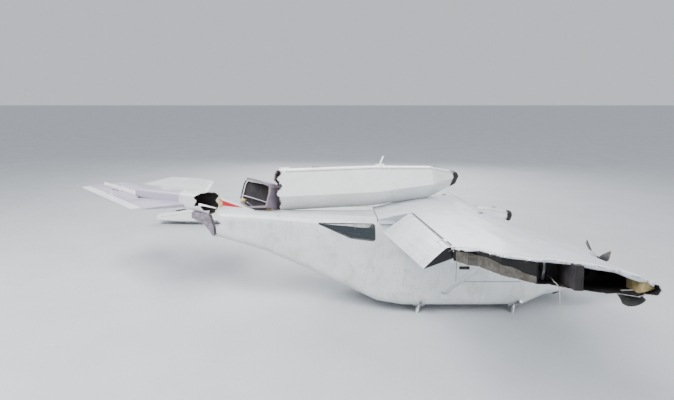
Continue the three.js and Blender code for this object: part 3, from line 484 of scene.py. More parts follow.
# Woven polyester seat cloth: dark blue-grey, matt, with a soft sheen on the crowns
def seatCloth():
    material, tree, shader, position = startMaterial("seatCloth", {
        "Roughness": 0.9, "Sheen Weight": 0.35, "Sheen Roughness": 0.5, "IOR": 1.45})
    thread = 2.4  # mm, drawn coarse so that it shows
    warp = addNode(tree, "ShaderNodeTexWave", {"bands_direction": "X"}, {
        "Vector": position, "Scale": perMetre(thread) / 3, "Distortion": 0.3}).outputs["Fac"]
    weft = addNode(tree, "ShaderNodeTexWave", {"bands_direction": "Y"}, {
        "Vector": position, "Scale": perMetre(thread) / 3, "Distortion": 0.3}).outputs["Fac"]
    weave = combine(tree, "MULTIPLY", warp, weft)
    damp = ramp(tree, noise(tree, position, 120, 4), 0.4, 0.7)
    colour = mixColour(tree, damp, linear("39414f"), linear("262b35"))
    colour = mixColour(tree, ramp(tree, weave, 0, 1, 0, 0.4), colour, linear("5b6474"))
    tree.links.new(colour, shader.inputs["Base Color"])
    bump(tree, shader, weave, 0.5 * mm, 0.6)
    return material


# Materials that are one colour with a second one in stains. A noise gives its size in mm, detail, roughness
# and stretch. The stain is cut between two levels and reaches its share. "rough" runs from clean to stained,
# and the grain's depth is in mm
stainedLooks = {
    # Sand-cast aluminium of an engine's case: dull grey with a coarse grain and oil stains
    "castAlloy": {"name": "castAlloy", "sockets": {"Metallic": 0.8}, "stain": (70, 5), "cut": (0.42, 0.66),
                  "colours": ("5b5d60", "26231f"), "rough": (0.62, 0.4), "grain": ((3, 3), 0.6, 0.7)},
    # Moulded ABS: matt black with a fine leather-like grain
    "plastic": {"name": "mouldedPlastic", "sockets": {"IOR": 1.53}, "stain": (50, 5), "cut": (0.45, 0.75),
                "share": 0.35, "colours": ("1c1d1f", "4c4a44"), "rough": (0.5, 0.75),
                "grain": ((1.5, 2), 0.3, 0.5)},
    # Stranded stainless cable: bright wires with dark gaps and a little rust bloom
    "cable": {"name": "strandedCable", "sockets": {"Metallic": 1.0, "Roughness": 0.34}, "stain": (20, 4),
              "cut": (0.55, 0.75), "share": 0.5, "colours": ("c9c9c4", "84705c"),
              "grain": ((2, 2), 0.2, 0.3)},
    # Bent rib alloy: grey, streaked brown by the lake
    "ribAlloy": {"name": "ribAlloy", "sockets": {"Metallic": 0.2, "Roughness": 0.6},
                 "stain": (60, 5, 0.65, (0.3, 1, 1)), "cut": (0.35, 0.7), "colours": ("62605a", "3f3931"),
                 "grain": ((40, 3), 1.2, 0.6)},
    # Painted shade: near black with a faint gloss, for the shaded underside of torn skin and the float's dark
    # web; also the skin crack's dark line
    "shadeNearBlack": {"name": "shadeNearBlack", "sockets": {"IOR": 1.5, "Roughness": 0.7}, "stain": (70, 5, 0.65),
                 "cut": (0.35, 0.7), "colours": ("151318", "2d2629"), "grain": ((9, 4), 0.8, 0.6)},
    # Red vinyl piping, faded where it was sat on
    "piping": {"name": "seatPiping", "sockets": {"Roughness": 0.5, "IOR": 1.5}, "stain": (60, 4),
               "cut": (0.35, 0.7), "colours": ("8f2028", "a8464a"), "grain": ((2, 2), 0.2, 0.4)},
    # Dial and screen faces: black, under clear glass
    "dialGlass": {"name": "dialGlass", "sockets": {"Coat Weight": 0.8, "Coat Roughness": 0.05},
                  "stain": (30, 4), "cut": (0.45, 0.75), "colours": ("0d0f12", "1c2024"),
                  "rough": (0.25, 0.5)},
    # Broken laminate edge: orange-tan resin and dust with pale splinters
    "rawEdge": {"name": "rawEdge", "sockets": {"IOR": 1.5, "Roughness": 0.82}, "stain": (14, 5, 0.7),
                "cut": (0.35, 0.65), "colours": ("d8a06c", "e8dccb"), "grain": ((3, 4, 0.7), 1.0, 0.9)},
    # Extruded rubber: near black, matt, with a dusty bloom
    "rubber": {"name": "rubber", "sockets": {"IOR": 1.5}, "stain": (30, 4), "cut": (0.4, 0.75), "share": 0.4,
               "colours": ("17181a", "45443f"), "rough": (0.6, 0.85), "grain": ((2, 2), 0.2, 0.4)},
    # Plain pale studio floor: matt vinyl, faintly mottled
    "vinyl": {"name": "studioVinyl", "sockets": {"IOR": 1.45, "Roughness": 0.62}, "stain": (900, 3),
              "cut": (0.3, 0.7), "colours": ("c9ccd0", "c3c6ca")},
}

# Clear materials: their film of dried water changes only how rough they are
clearLooks = {
    # Tinted cast acrylic: clear and hard, with a greenish grey cast and a dried water film
    "acrylic": {"name": "tintedAcrylic", "colour": "55616b", "film": (60, 6, 0.7),
                "sockets": {"IOR": 1.49, "Transmission Weight": 0.8, "Coat Weight": 0.5},
                "rough": (0.45, 0.8, 0.06, 0.42), "grain": ((180, 2), 2, 0.3)},
    # Clear polycarbonate lens over a white reflector
    "lampGlass": {"name": "lampGlass", "colour": "e6e9ea", "film": (12, 4),
                  "sockets": {"IOR": 1.58, "Transmission Weight": 0.6, "Coat Weight": 0.4},
                  "rough": (0.4, 0.75, 0.08, 0.35), "grain": ((4, 2), 0.3, 0.3)},
}


def addGrain(tree, shader, position, look):
    size, depth, strength = look["grain"]
    bump(tree, shader, noise(tree, position, *size), depth * mm, strength)


def stainedMaterial(look):
    material, tree, shader, position = startMaterial(look["name"], look["sockets"])
    share = look.get("share", 1.0)
    stain = ramp(tree, noise(tree, position, *look["stain"]), *look["cut"], 0, share)
    clean, stained = (linear(colour) for colour in look["colours"])
    tree.links.new(mixColour(tree, stain, clean, stained), shader.inputs["Base Color"])
    if "rough" in look:
        tree.links.new(ramp(tree, stain, 0, share, *look["rough"]), shader.inputs["Roughness"])
    if "grain" in look:
        addGrain(tree, shader, position, look)
    return material


def clearMaterial(look):
    sockets = dict(look["sockets"], **{"Base Color": linear(look["colour"])})
    material, tree, shader, position = startMaterial(look["name"], sockets)
    rough = ramp(tree, noise(tree, position, *look["film"]), *look["rough"])
    tree.links.new(rough, shader.inputs["Roughness"])
    addGrain(tree, shader, position, look)
    return material


finishes = {
    "aluminium": bareAluminium(),
    "primer": darkPrimer(),
    "carbon": carbonLaminate(),
    "webbing": strapWebbing(),
    "foam": foamCore(),
    "cloth": seatCloth(),
    "torn": tornLaminate(),  # the look of the same name is for a hollow
}
finishes.update((key, weatheredPaint(key, look)) for key, look in paintLooks.items() if key not in finishes)
finishes.update((key, stainedMaterial(look)) for key, look in stainedLooks.items())
finishes.update((key, clearMaterial(look)) for key, look in clearLooks.items())

nodeFinishes = {
    "wingPaint": ["wing_left", "wing_right", "wing_centre", "flap_left", "aileron_left"],
    "bodyPaint": ["cabin_shell", "door_right", "door_left", "cowling", "spinner", "lift_strut_right",
                  "lift_strut_left", "fin", "rudder"],
    "conePaint": ["tail_cone"],
    "rearPaint": ["rear_fuselage"],
    "mauvePaint": ["stabiliser"],
    "tabPaint": ["trim_tab"],
    "floatGelcoat": ["float_right", "float_left_bow", "float_left_stern"],
    "acrylic": ["windscreen", "door_window_right", "door_window_left", "rear_window_right",
                "rear_window_left"],
    "castAlloy": ["engine_block", "exhaust_pipe"],
    "shadeNearBlack": ["wing_right_frame"],
    "flapPaint": ["flap_right"],
    "aluminium": ["float_strut_front", "float_strut_rear", "water_rudder_right"],
    "carbon": ["propeller"],
    "plastic": ["instrument_panel", "control_stick"],
    "cloth": ["seat_right", "seat_left"],
    "cable": ["aileron_cable"],
    "torn": ["torn_skin", "float_left_middle"],
}
for finish, names in nodeFinishes.items():
    for name in names:
        material = finishes[finish]
        if name in hollows:
            material = weatheredPaint(f"{finish}_{name}", paintLooks[finish], hollows[name])
        slots = nodes[name].data.materials
        slots.clear()
        slots.append(material)
print("finishes on the packed pieces")


# Mesh helpers
def addPiece(name, mesh, finish, body="root", smooth=True):
    piece = bpy.data.objects.new(name, mesh)
    bpy.context.scene.collection.objects.link(piece)
    mesh.materials.clear()
    mesh.materials.append(finishes[finish])
    for face in mesh.polygons:
        face.use_smooth = smooth
    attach(piece, body)
    return piece


def meshFrom(name, points, faces):
    mesh = bpy.data.meshes.new(name)
    mesh.from_pydata([tuple(p) for p in points], [], faces)
    work = bmesh.new()
    work.from_mesh(mesh)
    bmesh.ops.remove_doubles(work, verts=work.verts, dist=1e-6)
    bmesh.ops.recalc_face_normals(work, faces=work.faces)
    work.to_mesh(mesh)
    work.free()
    return mesh


def loftParts(loops, capped=True):
    count = len(loops[0])
    points = [point for loop in loops for point in loop]
    faces = []
    for s in range(len(loops) - 1):
        for i in range(count):
            a, b = s * count + i, s * count + (i + 1) % count
            faces.append((a, b, b + count, a + count))
    if capped:
        faces.append(tuple(reversed(range(count))))
        faces.append(tuple(range((len(loops) - 1) * count, len(loops) * count)))
    return points, faces


def roundAngles(sides):
    return [2 * math.pi * i / sides for i in range(sides)]


def thirds(line):
    # the points of a line, each followed by two more on the way to the next; the last one is left out
    for (x0, y0), (x1, y1) in zip(line, line[1:]):
        for t in (0, 1 / 3, 2 / 3):
            yield x0 + (x1 - x0) * t, y0 + (y1 - y0) * t


def joinParts(parts):
    points, faces = [], []
    for morePoints, moreFaces in parts:
        faces += [tuple(i + len(points) for i in face) for face in moreFaces]
        points += list(morePoints)
    return points, faces


def frames(points):
    # a steady frame along a path: tangent, side and up at each point
    tangents = []
    for i in range(len(points)):
        before, after = points[max(i - 1, 0)], points[min(i + 1, len(points) - 1)]
        tangents.append((after - before).normalized())
    side = tangents[0].orthogonal().normalized()
    result = []
    for tangent in tangents:
        side = (side - tangent * side.dot(tangent)).normalized()
        result.append((tangent, side, tangent.cross(side)))
    return result


def tubeParts(points, radius, sides=8):
    radii = radius if isinstance(radius, (list, tuple)) else [radius] * len(points)
    loops = []
    for point, size, (_, side, up) in zip(points, radii, frames(points)):
        loops.append([point + (side * math.cos(a) + up * math.sin(a)) * size for a in roundAngles(sides)])
    return loftParts(loops)


def smoothPath(points, steps=8):
    # Catmull-Rom through the points
    points = [Vector(p) for p in points]
    ends = [2 * points[0] - points[1]] + points + [2 * points[-1] - points[-2]]
    path = []
    for i in range(1, len(ends) - 2):
        a, b, c, d = ends[i - 1:i + 3]
        for step in range(steps):
            t = step / steps
            path.append(0.5 * ((2 * b) + (c - a) * t + (2 * a - 5 * b + 4 * c - d) * t ** 2
                               + (3 * b - a - 3 * c + d) * t ** 3))
    path.append(points[-1])
    return path


# The aileron cable that hangs out of the torn wing, laid of six strands round a core
cable = {
    "clamp": (-520, -2704, 4),  # in the starboard wing's own axes, mm
    "route": [(0, -16.3, 0), (0, -50, -2), (1, -90, -8), (2, -130, -17), (3, -160, -22), (4, -182, -30),
              (5, -196, -46), (6, -206, -70), (7, -211, -100), (8, -214, -140), (10, -216, -190),
              (13, -217, -245), (17, -218, -300), (20, -220, -355), (22, -223, -410), (21, -228, -462)],
    "radius": 3,
    "strands": 6,
    "strandRadius": 1.15,
    "layTurns": 26,
}


def makeCable():
    start = Vector(cable["clamp"])
    path = smoothPath([inMm(rightWing, *(start + Vector(point))) for point in cable["route"]], 12)
    parts = [tubeParts(path, cable["strandRadius"] * mm, 6)]
    around = (cable["radius"] - cable["strandRadius"]) * mm
    steady = frames(path)
    for strand in range(cable["strands"]):
        helix = []
        for i, (point, (_, side, up)) in enumerate(zip(path, steady)):
            angle = 2 * math.pi * (strand / cable["strands"] + cable["layTurns"] * i / len(path))
            helix.append(point + (side * math.cos(angle) + up * math.sin(angle)) * around)
        parts.append(tubeParts(helix, cable["strandRadius"] * mm, 6))
    piece = addPiece("aileronCable", meshFrom("aileronCable", *joinParts(parts)), "cable")
    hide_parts("aileron_cable")
    length = sum((b - a).length for a, b in zip(path, path[1:]))
    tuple(path[0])
    print(f"aileron cable, {length:.3f} m")


makeCable()


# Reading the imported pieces: a welded copy in world places, and a ray tree of it
def workMesh(name):
    work = bmesh.new()
    work.from_mesh(nodes[name].data)
    work.transform(nodes[name].matrix_world)
    bmesh.ops.remove_doubles(work, verts=work.verts, dist=2e-5)
    work.normal_update()
    return work


rayTrees = {}


def rayTree(name):
    if name not in rayTrees:
        work = workMesh(name)
        rayTrees[name] = BVHTree.FromBMesh(work)
        work.free()
    return rayTrees[name]


def landOn(name, start, direction, reach=3.0):
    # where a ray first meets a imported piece, and that face's normal turned to meet the ray
    spot, normal, _, _ = rayTree(name).ray_cast(start, direction.normalized(), reach)
    if spot is None:
        return None
    return spot, (normal if normal.dot(direction) < 0 else -normal)


# Ragged edges: flakes of split laminate and loose fibres along every outer edge of a tear
floatTear = {"least": 0.5, "width": (14, 40), "length": (6, 40), "curl": (-35, 35), "paint": "floatGelcoat"}
ringTear = {"node": "float_left_middle", "least": 0.6, "width": (12, 30), "length": (5, 26),
            "curl": (-45, 45), "paint": "torn"}
tears = {
    "rearBreak": {"node": "rear_fuselage", "facing": (-1, 0, 0), "least": 0.45, "from": (-3300, None),
                  "width": (14, 34), "length": (6, 34), "curl": (-35, 25), "paint": "rearPaint"},
    "coneBreak": {"node": "tail_cone", "facing": (1, 0, 0), "least": 0.4, "from": (None, -290),
                  "width": (12, 30), "length": (5, 30), "curl": (-30, 30), "paint": "bodyPaint"},
    "wingTear": {"node": "wing_right", "facing": (-0.59, -0.81, 0), "least": 0.3, "beyond": -2110,
                 "width": (22, 60), "length": (6, 46), "curl": (8, 60), "paint": "wingPaint"},
    "bowTear": dict(floatTear, node="float_left_bow", facing=(-1, 0, 0), **{"from": (-2480, None)}),
    "sternTear": dict(floatTear, node="float_left_stern", facing=(1, 0, 0), **{"from": (None, -3460)}),
    "middleTearFront": dict(ringTear, facing=(1, 0, 0)),
    "middleTearBack": dict(ringTear, facing=(-1, 0, 0)),
}


def tearEdges(tear):
    hollow = hollows[tear["node"]]
    place = hollow["place"]
    toOwn = place.inverted()
    start, end = (inMm(place, *point) for point in hollow["line"])
    axis = (end - start).normalized()
    facing = (place.to_3x3() @ Vector(tear["facing"])).normalized()
    back, front = tear.get("from", (None, None))
    work = workMesh(tear["node"])

    def isTorn(face):
        own = (toOwn @ face.calc_center_median()) / mm
        if tear.get("beyond") and own.y > tear["beyond"]:
            return False
        if (back and own.x > back) or (front and own.x < front):
            return False
        return face.normal.dot(facing) > tear["least"]

    edges = []
    for edge in work.edges:
        if len(edge.link_faces) != 2:
            continue
        for torn, skinFace in (edge.link_faces, reversed(edge.link_faces)):
            if not isTorn(torn) or isTorn(skinFace):
                continue
            a, b = (vert.co.copy() for vert in edge.verts)
            offset = (a + b) / 2 - start
            radial = offset - axis * offset.dot(axis)
            if skinFace.normal.dot(radial) > 0:
                edges.append((a, b, torn.normal.copy(), skinFace.normal.copy()))
    work.free()
    return edges


def flakeParts(base, along, out, up, size, curl, thick, chance):
    # a jagged strip that bends away from the skin; rows run outwards, columns along the tear
    width, length = size
    columns, rows = 5, 3
    reach = [chance.uniform(0.35, 1.0) * (1 - 0.5 * abs(2 * j / columns - 1)) for j in range(columns + 1)]
    points = []
    for face in (0, 1):
        for j in range(columns + 1):
            for k in range(rows + 1):
                t = reach[j] * k / rows
                bend = curl * t
                outward = length * (math.sin(bend) / curl if abs(curl) > 0.02 else t)
                lift = length * ((1 - math.cos(bend)) / curl if abs(curl) > 0.02 else 0)
                pinch = 1 - 0.35 * t
                points.append(base + along * ((j / columns - 0.5) * width * pinch) + out * (outward - 0.004)
                              - up * (lift + 0.0004 + face * thick))
    size = (columns + 1) * (rows + 1)
    cell = lambda j, k, face=0: face * size + j * (rows + 1) + k
    faces = []
    for j in range(columns):
        for k in range(rows):
            faces.append((cell(j, k), cell(j + 1, k), cell(j + 1, k + 1), cell(j, k + 1)))
            faces.append((cell(j, k, 1), cell(j, k + 1, 1), cell(j + 1, k + 1, 1), cell(j + 1, k, 1)))
        faces.append((cell(j, 0), cell(j, 0, 1), cell(j + 1, 0, 1), cell(j + 1, 0)))
        faces.append((cell(j, rows), cell(j + 1, rows), cell(j + 1, rows, 1), cell(j, rows, 1)))
    for k in range(rows):
        faces.append((cell(0, k), cell(0, k + 1), cell(0, k + 1, 1), cell(0, k, 1)))
        faces.append((cell(columns, k), cell(columns, k, 1), cell(columns, k + 1, 1), cell(columns, k + 1)))
    return points, faces


def withinBox(point):
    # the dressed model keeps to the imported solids' own box
    low, high = cadBounds
    return Vector(min(max(value, least), most) for value, least, most in zip(point, low, high))


def addBoxedPiece(name, parts, finish, smooth=True):
    points, faces = joinParts(parts)
    addPiece(name, meshFrom(name, map(withinBox, points), faces), finish, smooth=smooth)


def tearEdgePieces(name, tear):
    chance = random.Random(name)
    flakes, fibres = [], []
    for a, b, tornNormal, skinNormal in tearEdges(tear):
        span = (b - a).length
        if span < 0.002:
            continue
        along = (b - a).normalized()
        out = (tornNormal - skinNormal * tornNormal.dot(skinNormal)).normalized()
        count = max(1, round(span / (tear["width"][0] * mm)))
        for i in range(count):
            base = a.lerp(b, (i + chance.uniform(0.25, 0.75)) / count)
            width = chance.uniform(*tear["width"]) * mm
            length = chance.uniform(*tear["length"]) * mm
            curl = math.radians(chance.uniform(*tear["curl"]))
            flakes.append(flakeParts(base, along, out, skinNormal, (width, length), curl, 1.6 * mm, chance))
            if chance.random() < 0.8:
                slant = out + along * chance.uniform(-0.6, 0.6) - skinNormal * chance.uniform(-0.1, 0.5)
                slant.normalize()
                tip = chance.uniform(0.6, 1.5) * length
                middle = base + slant * tip * 0.6 - skinNormal * 0.002
                tilt = middle + slant * tip * 0.4 + along * chance.uniform(-0.3, 0.3) * tip
                fibres.append(tubeParts([base - out * 0.004 - skinNormal * 0.003, middle, tilt],
                                        [0.9 * mm, 0.6 * mm, 0.15 * mm], 4))
    addBoxedPiece(name, flakes, tear["paint"], smooth=False)
    addBoxedPiece(f"{name}Fibres", fibres, "rawEdge")
    print(name, len(flakes), "flakes,", len(fibres), "fibres")


for name, tear in tears.items():
    tearEdgePieces(name, tear)


# Small shapes that many pieces share
def turnedParts(place, profile, sides=20):
    # profile of radius and height in mm, turned round the place's own Z
    loops = []
    for radius, height in profile:
        loops.append([inMm(place, radius * math.cos(a), radius * math.sin(a), height)
                      for a in roundAngles(sides)])
    return loftParts(loops, capped=False)


def facingPlace(spot, normal, ahead=(1, 0, 0)):
    # a place on a surface: Z along the normal, X as near as may be to the direction ahead
    up = Vector(normal).normalized()
    ahead = Vector(ahead)
    ahead = (ahead - up * ahead.dot(up)).normalized()
    turn = Matrix((ahead, up.cross(ahead), up)).transposed().to_4x4()
    return Matrix.Translation(spot) @ turn


def blockParts(place, low, high, chamfer=1.5):
    # a block with its long edges taken off, in mm
    loops = []
    x0, y0, z0 = low
    x1, y1, z1 = high
    c = min(chamfer, (x1 - x0) / 3, (y1 - y0) / 3, (z1 - z0) / 3)
    for z, cut in ((z0, c), (z0 + c, 0), (z1 - c, 0), (z1, c)):
        corners = [(x0 + c + cut, y0 + cut), (x1 - c - cut, y0 + cut), (x1 - cut, y0 + c + cut),
                   (x1 - cut, y1 - c - cut), (x1 - c - cut, y1 - cut), (x0 + c + cut, y1 - cut),
                   (x0 + cut, y1 - c - cut), (x0 + cut, y0 + c + cut)]
        loops.append([inMm(place, x, y, z) for x, y in corners])
    return loftParts(loops)


def ribbonParts(points, normals, width, thick, taper=1.0):
    # a flat strip along a path; its broad side faces the normals
    loops = []
    for i, (point, normal) in enumerate(zip(points, normals)):
        tangent = (points[min(i + 1, len(points) - 1)] - points[max(i - 1, 0)]).normalized()
        side = tangent.cross(normal).normalized()
        half = width / 2 * (1 + (taper - 1) * i / (len(points) - 1))
        loops.append([point + side * half, point + side * half + normal * thick * 0.8,
                      point + side * half * 0.8 + normal * thick, point - side * half * 0.8 + normal * thick,
                      point - side * half + normal * thick * 0.8, point - side * half])
    return loftParts(loops)


def sheetParts(rows, thick):
    # a closed sheet from a grid of points, thickened away from its own normals
    count = len(rows[0])
    flat = [point for row in rows for point in row]
    normals = []
    for r, row in enumerate(rows):
        for c in range(count):
            across = rows[r][min(c + 1, count - 1)] - rows[r][max(c - 1, 0)]
            down = rows[min(r + 1, len(rows) - 1)][c] - rows[max(r - 1, 0)][c]
            normals.append(across.cross(down).normalized())
    points = flat + [point - normal * thick for point, normal in zip(flat, normals)]
    size = len(flat)
    faces = []
    for r in range(len(rows) - 1):
        for c in range(count - 1):
            a = r * count + c
            faces.append((a, a + count, a + count + 1, a + 1))
            faces.append(tuple(i + size for i in (a, a + 1, a + count + 1, a + count)))
    last = len(rows) - 1
    rim = [(0, c) for c in range(count - 1)] + [(r, count - 1) for r in range(last)]
    rim += [(last, c) for c in range(count - 1, 0, -1)] + [(r, 0) for r in range(last, 0, -1)]
    ring = [r * count + c for r, c in rim]
    for a, b in zip(ring, ring[1:] + ring[:1]):
        faces.append((a, b, b + size, a + size))
    return points, faces


def addParts(name, parts, finish, body="root", smooth=False):
    return addPiece(name, meshFrom(name, *joinParts(parts)), finish, body, smooth)


boltHead = [(0, 0), (5, 0), (5, 3.2), (4, 4), (0, 4)]  # radius and height, mm
screwHead = [(0, 0), (3.6, 0), (3.2, 1.0), (1.4, 1.5), (0, 1.2)]


# The wing's section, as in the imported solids
wing = {
    "chord": 1400, "camber": 0.03, "camberAt": 0.4, "thickness": 0.125,
    "ribPitch": 260, "rivetPitch": 42, "sparPitch": 58, "spars": (0.035, 0.3, 0.52),
}

# Radius and height of a rivet's head on fixed and on moving skins, and how low a rivet may lie, mm
rivets = {
    "fixed": (3.1, 0.9), "moving": (2.6, 0.8), "floor": 5,
}


def sectionZ(share):
    half = wing["thickness"] / 0.2 * (0.2969 * math.sqrt(share) - 0.126 * share - 0.3516 * share ** 2
                                      + 0.2843 * share ** 3 - 0.1015 * share ** 4)
    peak, at = wing["camber"], wing["camberAt"]
    if share < at:
        line = peak / at ** 2 * (2 * at * share - share ** 2)
    else:
        line = peak / (1 - at) ** 2 * (1 - 2 * at + 2 * at * share - share ** 2)
    return wing["chord"] * (line + half), wing["chord"] * (line - half)


# Rivets: one domed head repeated at every point of a row, turned to the skin
def rivetNodes(finish):
    tree = bpy.data.node_groups.new("rivetRow", "GeometryNodeTree")
    tree.interface.new_socket("Rows", in_out="INPUT", socket_type="NodeSocketGeometry")
    radius = tree.interface.new_socket("Radius", in_out="INPUT", socket_type="NodeSocketFloat")
    height = tree.interface.new_socket("Height", in_out="INPUT", socket_type="NodeSocketFloat")
    tree.interface.new_socket("Rivets", in_out="OUTPUT", socket_type="NodeSocketGeometry")
    entry = tree.nodes.new("NodeGroupInput").outputs
    exit = tree.nodes.new("NodeGroupOutput").inputs
    facing = addNode(tree, "GeometryNodeInputNamedAttribute", {"data_type": "FLOAT_VECTOR"},
                     {"Name": "facing"})
    turn = addNode(tree, "FunctionNodeAlignRotationToVector", {"axis": "Z"}, {"Vector": facing.outputs[0]})
    head = addNode(tree, "GeometryNodeMeshUVSphere", links={"Segments": 8, "Rings": 4, "Radius": 1.0})
    size = addNode(tree, "ShaderNodeCombineXYZ", links={"X": entry["Radius"], "Y": entry["Radius"],
                                                        "Z": entry["Height"]})
    flat = addNode(tree, "GeometryNodeTransform", links={"Geometry": head.outputs["Mesh"],
                                                         "Scale": size.outputs["Vector"]})
    copies = addNode(tree, "GeometryNodeInstanceOnPoints", links={
        "Points": entry["Rows"], "Instance": flat.outputs["Geometry"], "Rotation": turn.outputs["Rotation"]})
    real = addNode(tree, "GeometryNodeRealizeInstances", links={"Geometry": copies.outputs["Instances"]})
    painted = addNode(tree, "GeometryNodeSetMaterial", links={"Geometry": real.outputs["Geometry"],
                                                              "Material": finishes[finish]})
    tree.links.new(painted.outputs["Geometry"], exit["Rivets"])
    return tree, radius.identifier, height.identifier


def addRivets(name, rows, finish, body="root"):
    size = rivets["fixed" if body == "root" else "moving"]
    rows = [row for row in rows if row[0].z > rivets["floor"] * mm]
    mesh = bpy.data.meshes.new(name)
    mesh.from_pydata([tuple(spot) for spot, _ in rows], [], [])
    facing = mesh.attributes.new("facing", "FLOAT_VECTOR", "POINT")
    for i, (_, normal) in enumerate(rows):
        facing.data[i].vector = normal
    holder = bpy.data.objects.new(name, mesh)
    bpy.context.scene.collection.objects.link(holder)
    tree, radius, height = rivetNodes(finish)
    modifier = holder.modifiers.new("rivetRow", "NODES")
    modifier.node_group = tree
    modifier[radius], modifier[height] = size[0] * mm, size[1] * mm
    bpy.context.view_layer.update()
    made = bpy.data.meshes.new_from_object(holder.evaluated_get(bpy.context.evaluated_depsgraph_get()))
    bpy.data.objects.remove(holder)
    made.name = name
    return addPiece(name, made, finish, body)


def rowOn(node, place, points, down):
    # points in a place's own mm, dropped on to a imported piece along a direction
    direction = place.to_3x3() @ Vector(down)
    hits = (landOn(node, inMm(place, *point) - direction * 0.4, direction, 0.8) for point in points)
    return [hit for hit in hits if hit and hit[1].dot(direction) < -0.35]


def steps(start, end, pitch):
    count = max(1, round(abs(end - start) / pitch))
    return [start + (end - start) * (i + 0.5) / count for i in range(count)]


def wingRows(node, place, sign, span, shares):
    # rib rows run back from the nose, spar rows run outboard, both on the upper and the lower skin
    rows = []
    first, last = span
    low, high = shares
    chord = wing["chord"]
    for down in ((0, 0, -1), (0, 0, 1)):
        for y in steps(first, last, wing["ribPitch"]):
            points = [(-x, sign * y, 0) for x in steps(low * chord, high * chord, wing["rivetPitch"])]
            rows += rowOn(node, place, points, down)
        for share in wing["spars"]:
            if low <= share <= high:
                points = [(-share * chord, sign * y, 0) for y in steps(first, last, wing["sparPitch"])]
                rows += rowOn(node, place, points, down)
    return rows


for node, place, sign, last in (("wing_left", leftWing, 1, 3840), ("wing_right", rightWing, -1, 3060)):
    addRivets(f"{node}Rivets", wingRows(node, place, sign, (60, last), (0.03, 0.7)), "wingPaint")
print("wing rivets")


# Inside the torn wing end: a stiffener, the nose rib's flange, foam in the nose and the skin that hangs down
wingEnd = {
    "stiffener": {"x": -548, "y": -2712, "width": 17, "thick": 2},
    "noseRib": {"y": -2925, "from": 0.24, "width": 24, "thick": 2.2},
    "foam": {"from": -2880, "to": -3050, "back": 0.062},
    "flap": {"x": (-200, -62), "y": -3000, "drop": 70, "curl": 0.9},
}


def insideNose(share, inset):
    high, low = sectionZ(share)
    return high - inset, low + inset


def makeWingEnd():
    values = wingEnd["stiffener"]
    high, low = insideNose(-values["x"] / wing["chord"], 10)
    path = [inMm(rightWing, values["x"] + 9 * math.sin(3 * t), values["y"] - 14 * t, low + (high - low) * t)
            for t in (0, 0.2, 0.4, 0.6, 0.8, 1)]
    outboard = directionIn(rightWing, 0, -1, 0)
    addParts("tornStiffener", [ribbonParts(path, [outboard] * len(path), values["width"] * mm,
                                           values["thick"] * mm)], "aluminium")
    values = wingEnd["noseRib"]
    shares = [values["from"] * t ** 2 for t in (1, 0.9, 0.8, 0.68, 0.56, 0.44, 0.32, 0.22, 0.14, 0.08)]
    upper = [(-wing["chord"] * s - 4, insideNose(s, 12)[0]) for s in shares]
    lower = [(-wing["chord"] * s - 4, insideNose(s, 12)[1]) for s in reversed(shares[3:])]
    profile = upper + lower
    middle = Vector((-wing["chord"] * 0.1, 20))
    points, normals = [], []
    for i, (x, z) in enumerate(profile):
        before, after = profile[max(i - 1, 0)], profile[min(i + 1, len(profile) - 1)]
        tangent = (Vector(after) - Vector(before)).normalized()
        inward = Vector((-tangent.y, tangent.x))
        if inward.dot(middle - Vector((x, z))) < 0:
            inward = -inward
        y = values["y"] - 46 * (1 - abs(x) / 340)
        points.append(inMm(rightWing, x, y, z))
        normals.append(directionIn(rightWing, inward.x, 0, inward.y).normalized())
    addParts("noseRibFlange", [ribbonParts(points, normals, values["width"] * mm, values["thick"] * mm)],
             "bodyPaint")
    values = wingEnd["foam"]
    chance = random.Random("foam")
    loops = []
    for y in (values["from"], values["from"] - 70, values["to"] + 46, values["to"] + 18, values["to"]):
        shares = [values["back"] * t ** 2 for t in (1, 0.8, 0.6, 0.4, 0.22)]
        shrink = 10.5 + (14 if y == values["to"] else 0)
        loop = [(-wing["chord"] * s - 3, insideNose(s, shrink)[0]) for s in shares]
        loop += [(-wing["chord"] * s - 3, insideNose(s, shrink)[1]) for s in reversed(shares)]
        crumb = 7 if y < values["from"] - 80 else 0
        loops.append([inMm(rightWing, x - abs(chance.uniform(0, crumb)),
                           y + chance.uniform(-1.6, 1.6) * crumb,
                           z + chance.uniform(-0.3, 0.3) * crumb) for x, z in loop])
    addParts("noseFoam", [loftParts(loops)], "foam")
    values = wingEnd["flap"]
    rows = []
    front, back = values["x"][1], values["x"][0]
    for k in range(6):
        t = k / 5
        row = []
        for j in range(8):
            s = j / 7
            x = back + (front - back) * s
            z = sectionZ(-x / wing["chord"])[1]
            reach = values["drop"] * (0.55 + 0.45 * math.sin(2.6 * s + 0.4)) * t
            bend = values["curl"] * t
            row.append(inMm(rightWing, x + 10 * math.sin(5 * s + 3 * t), values["y"] - reach * math.sin(bend)
                            + 30 * (1 - s) * (1 - t), z + 3 - reach * math.cos(bend * 0.6)))
        rows.append(row)
    addParts("tornLowerSkin", [sheetParts(rows, 1.4 * mm)], "primer", smooth=True)


makeWingEnd()
print("torn wing end")


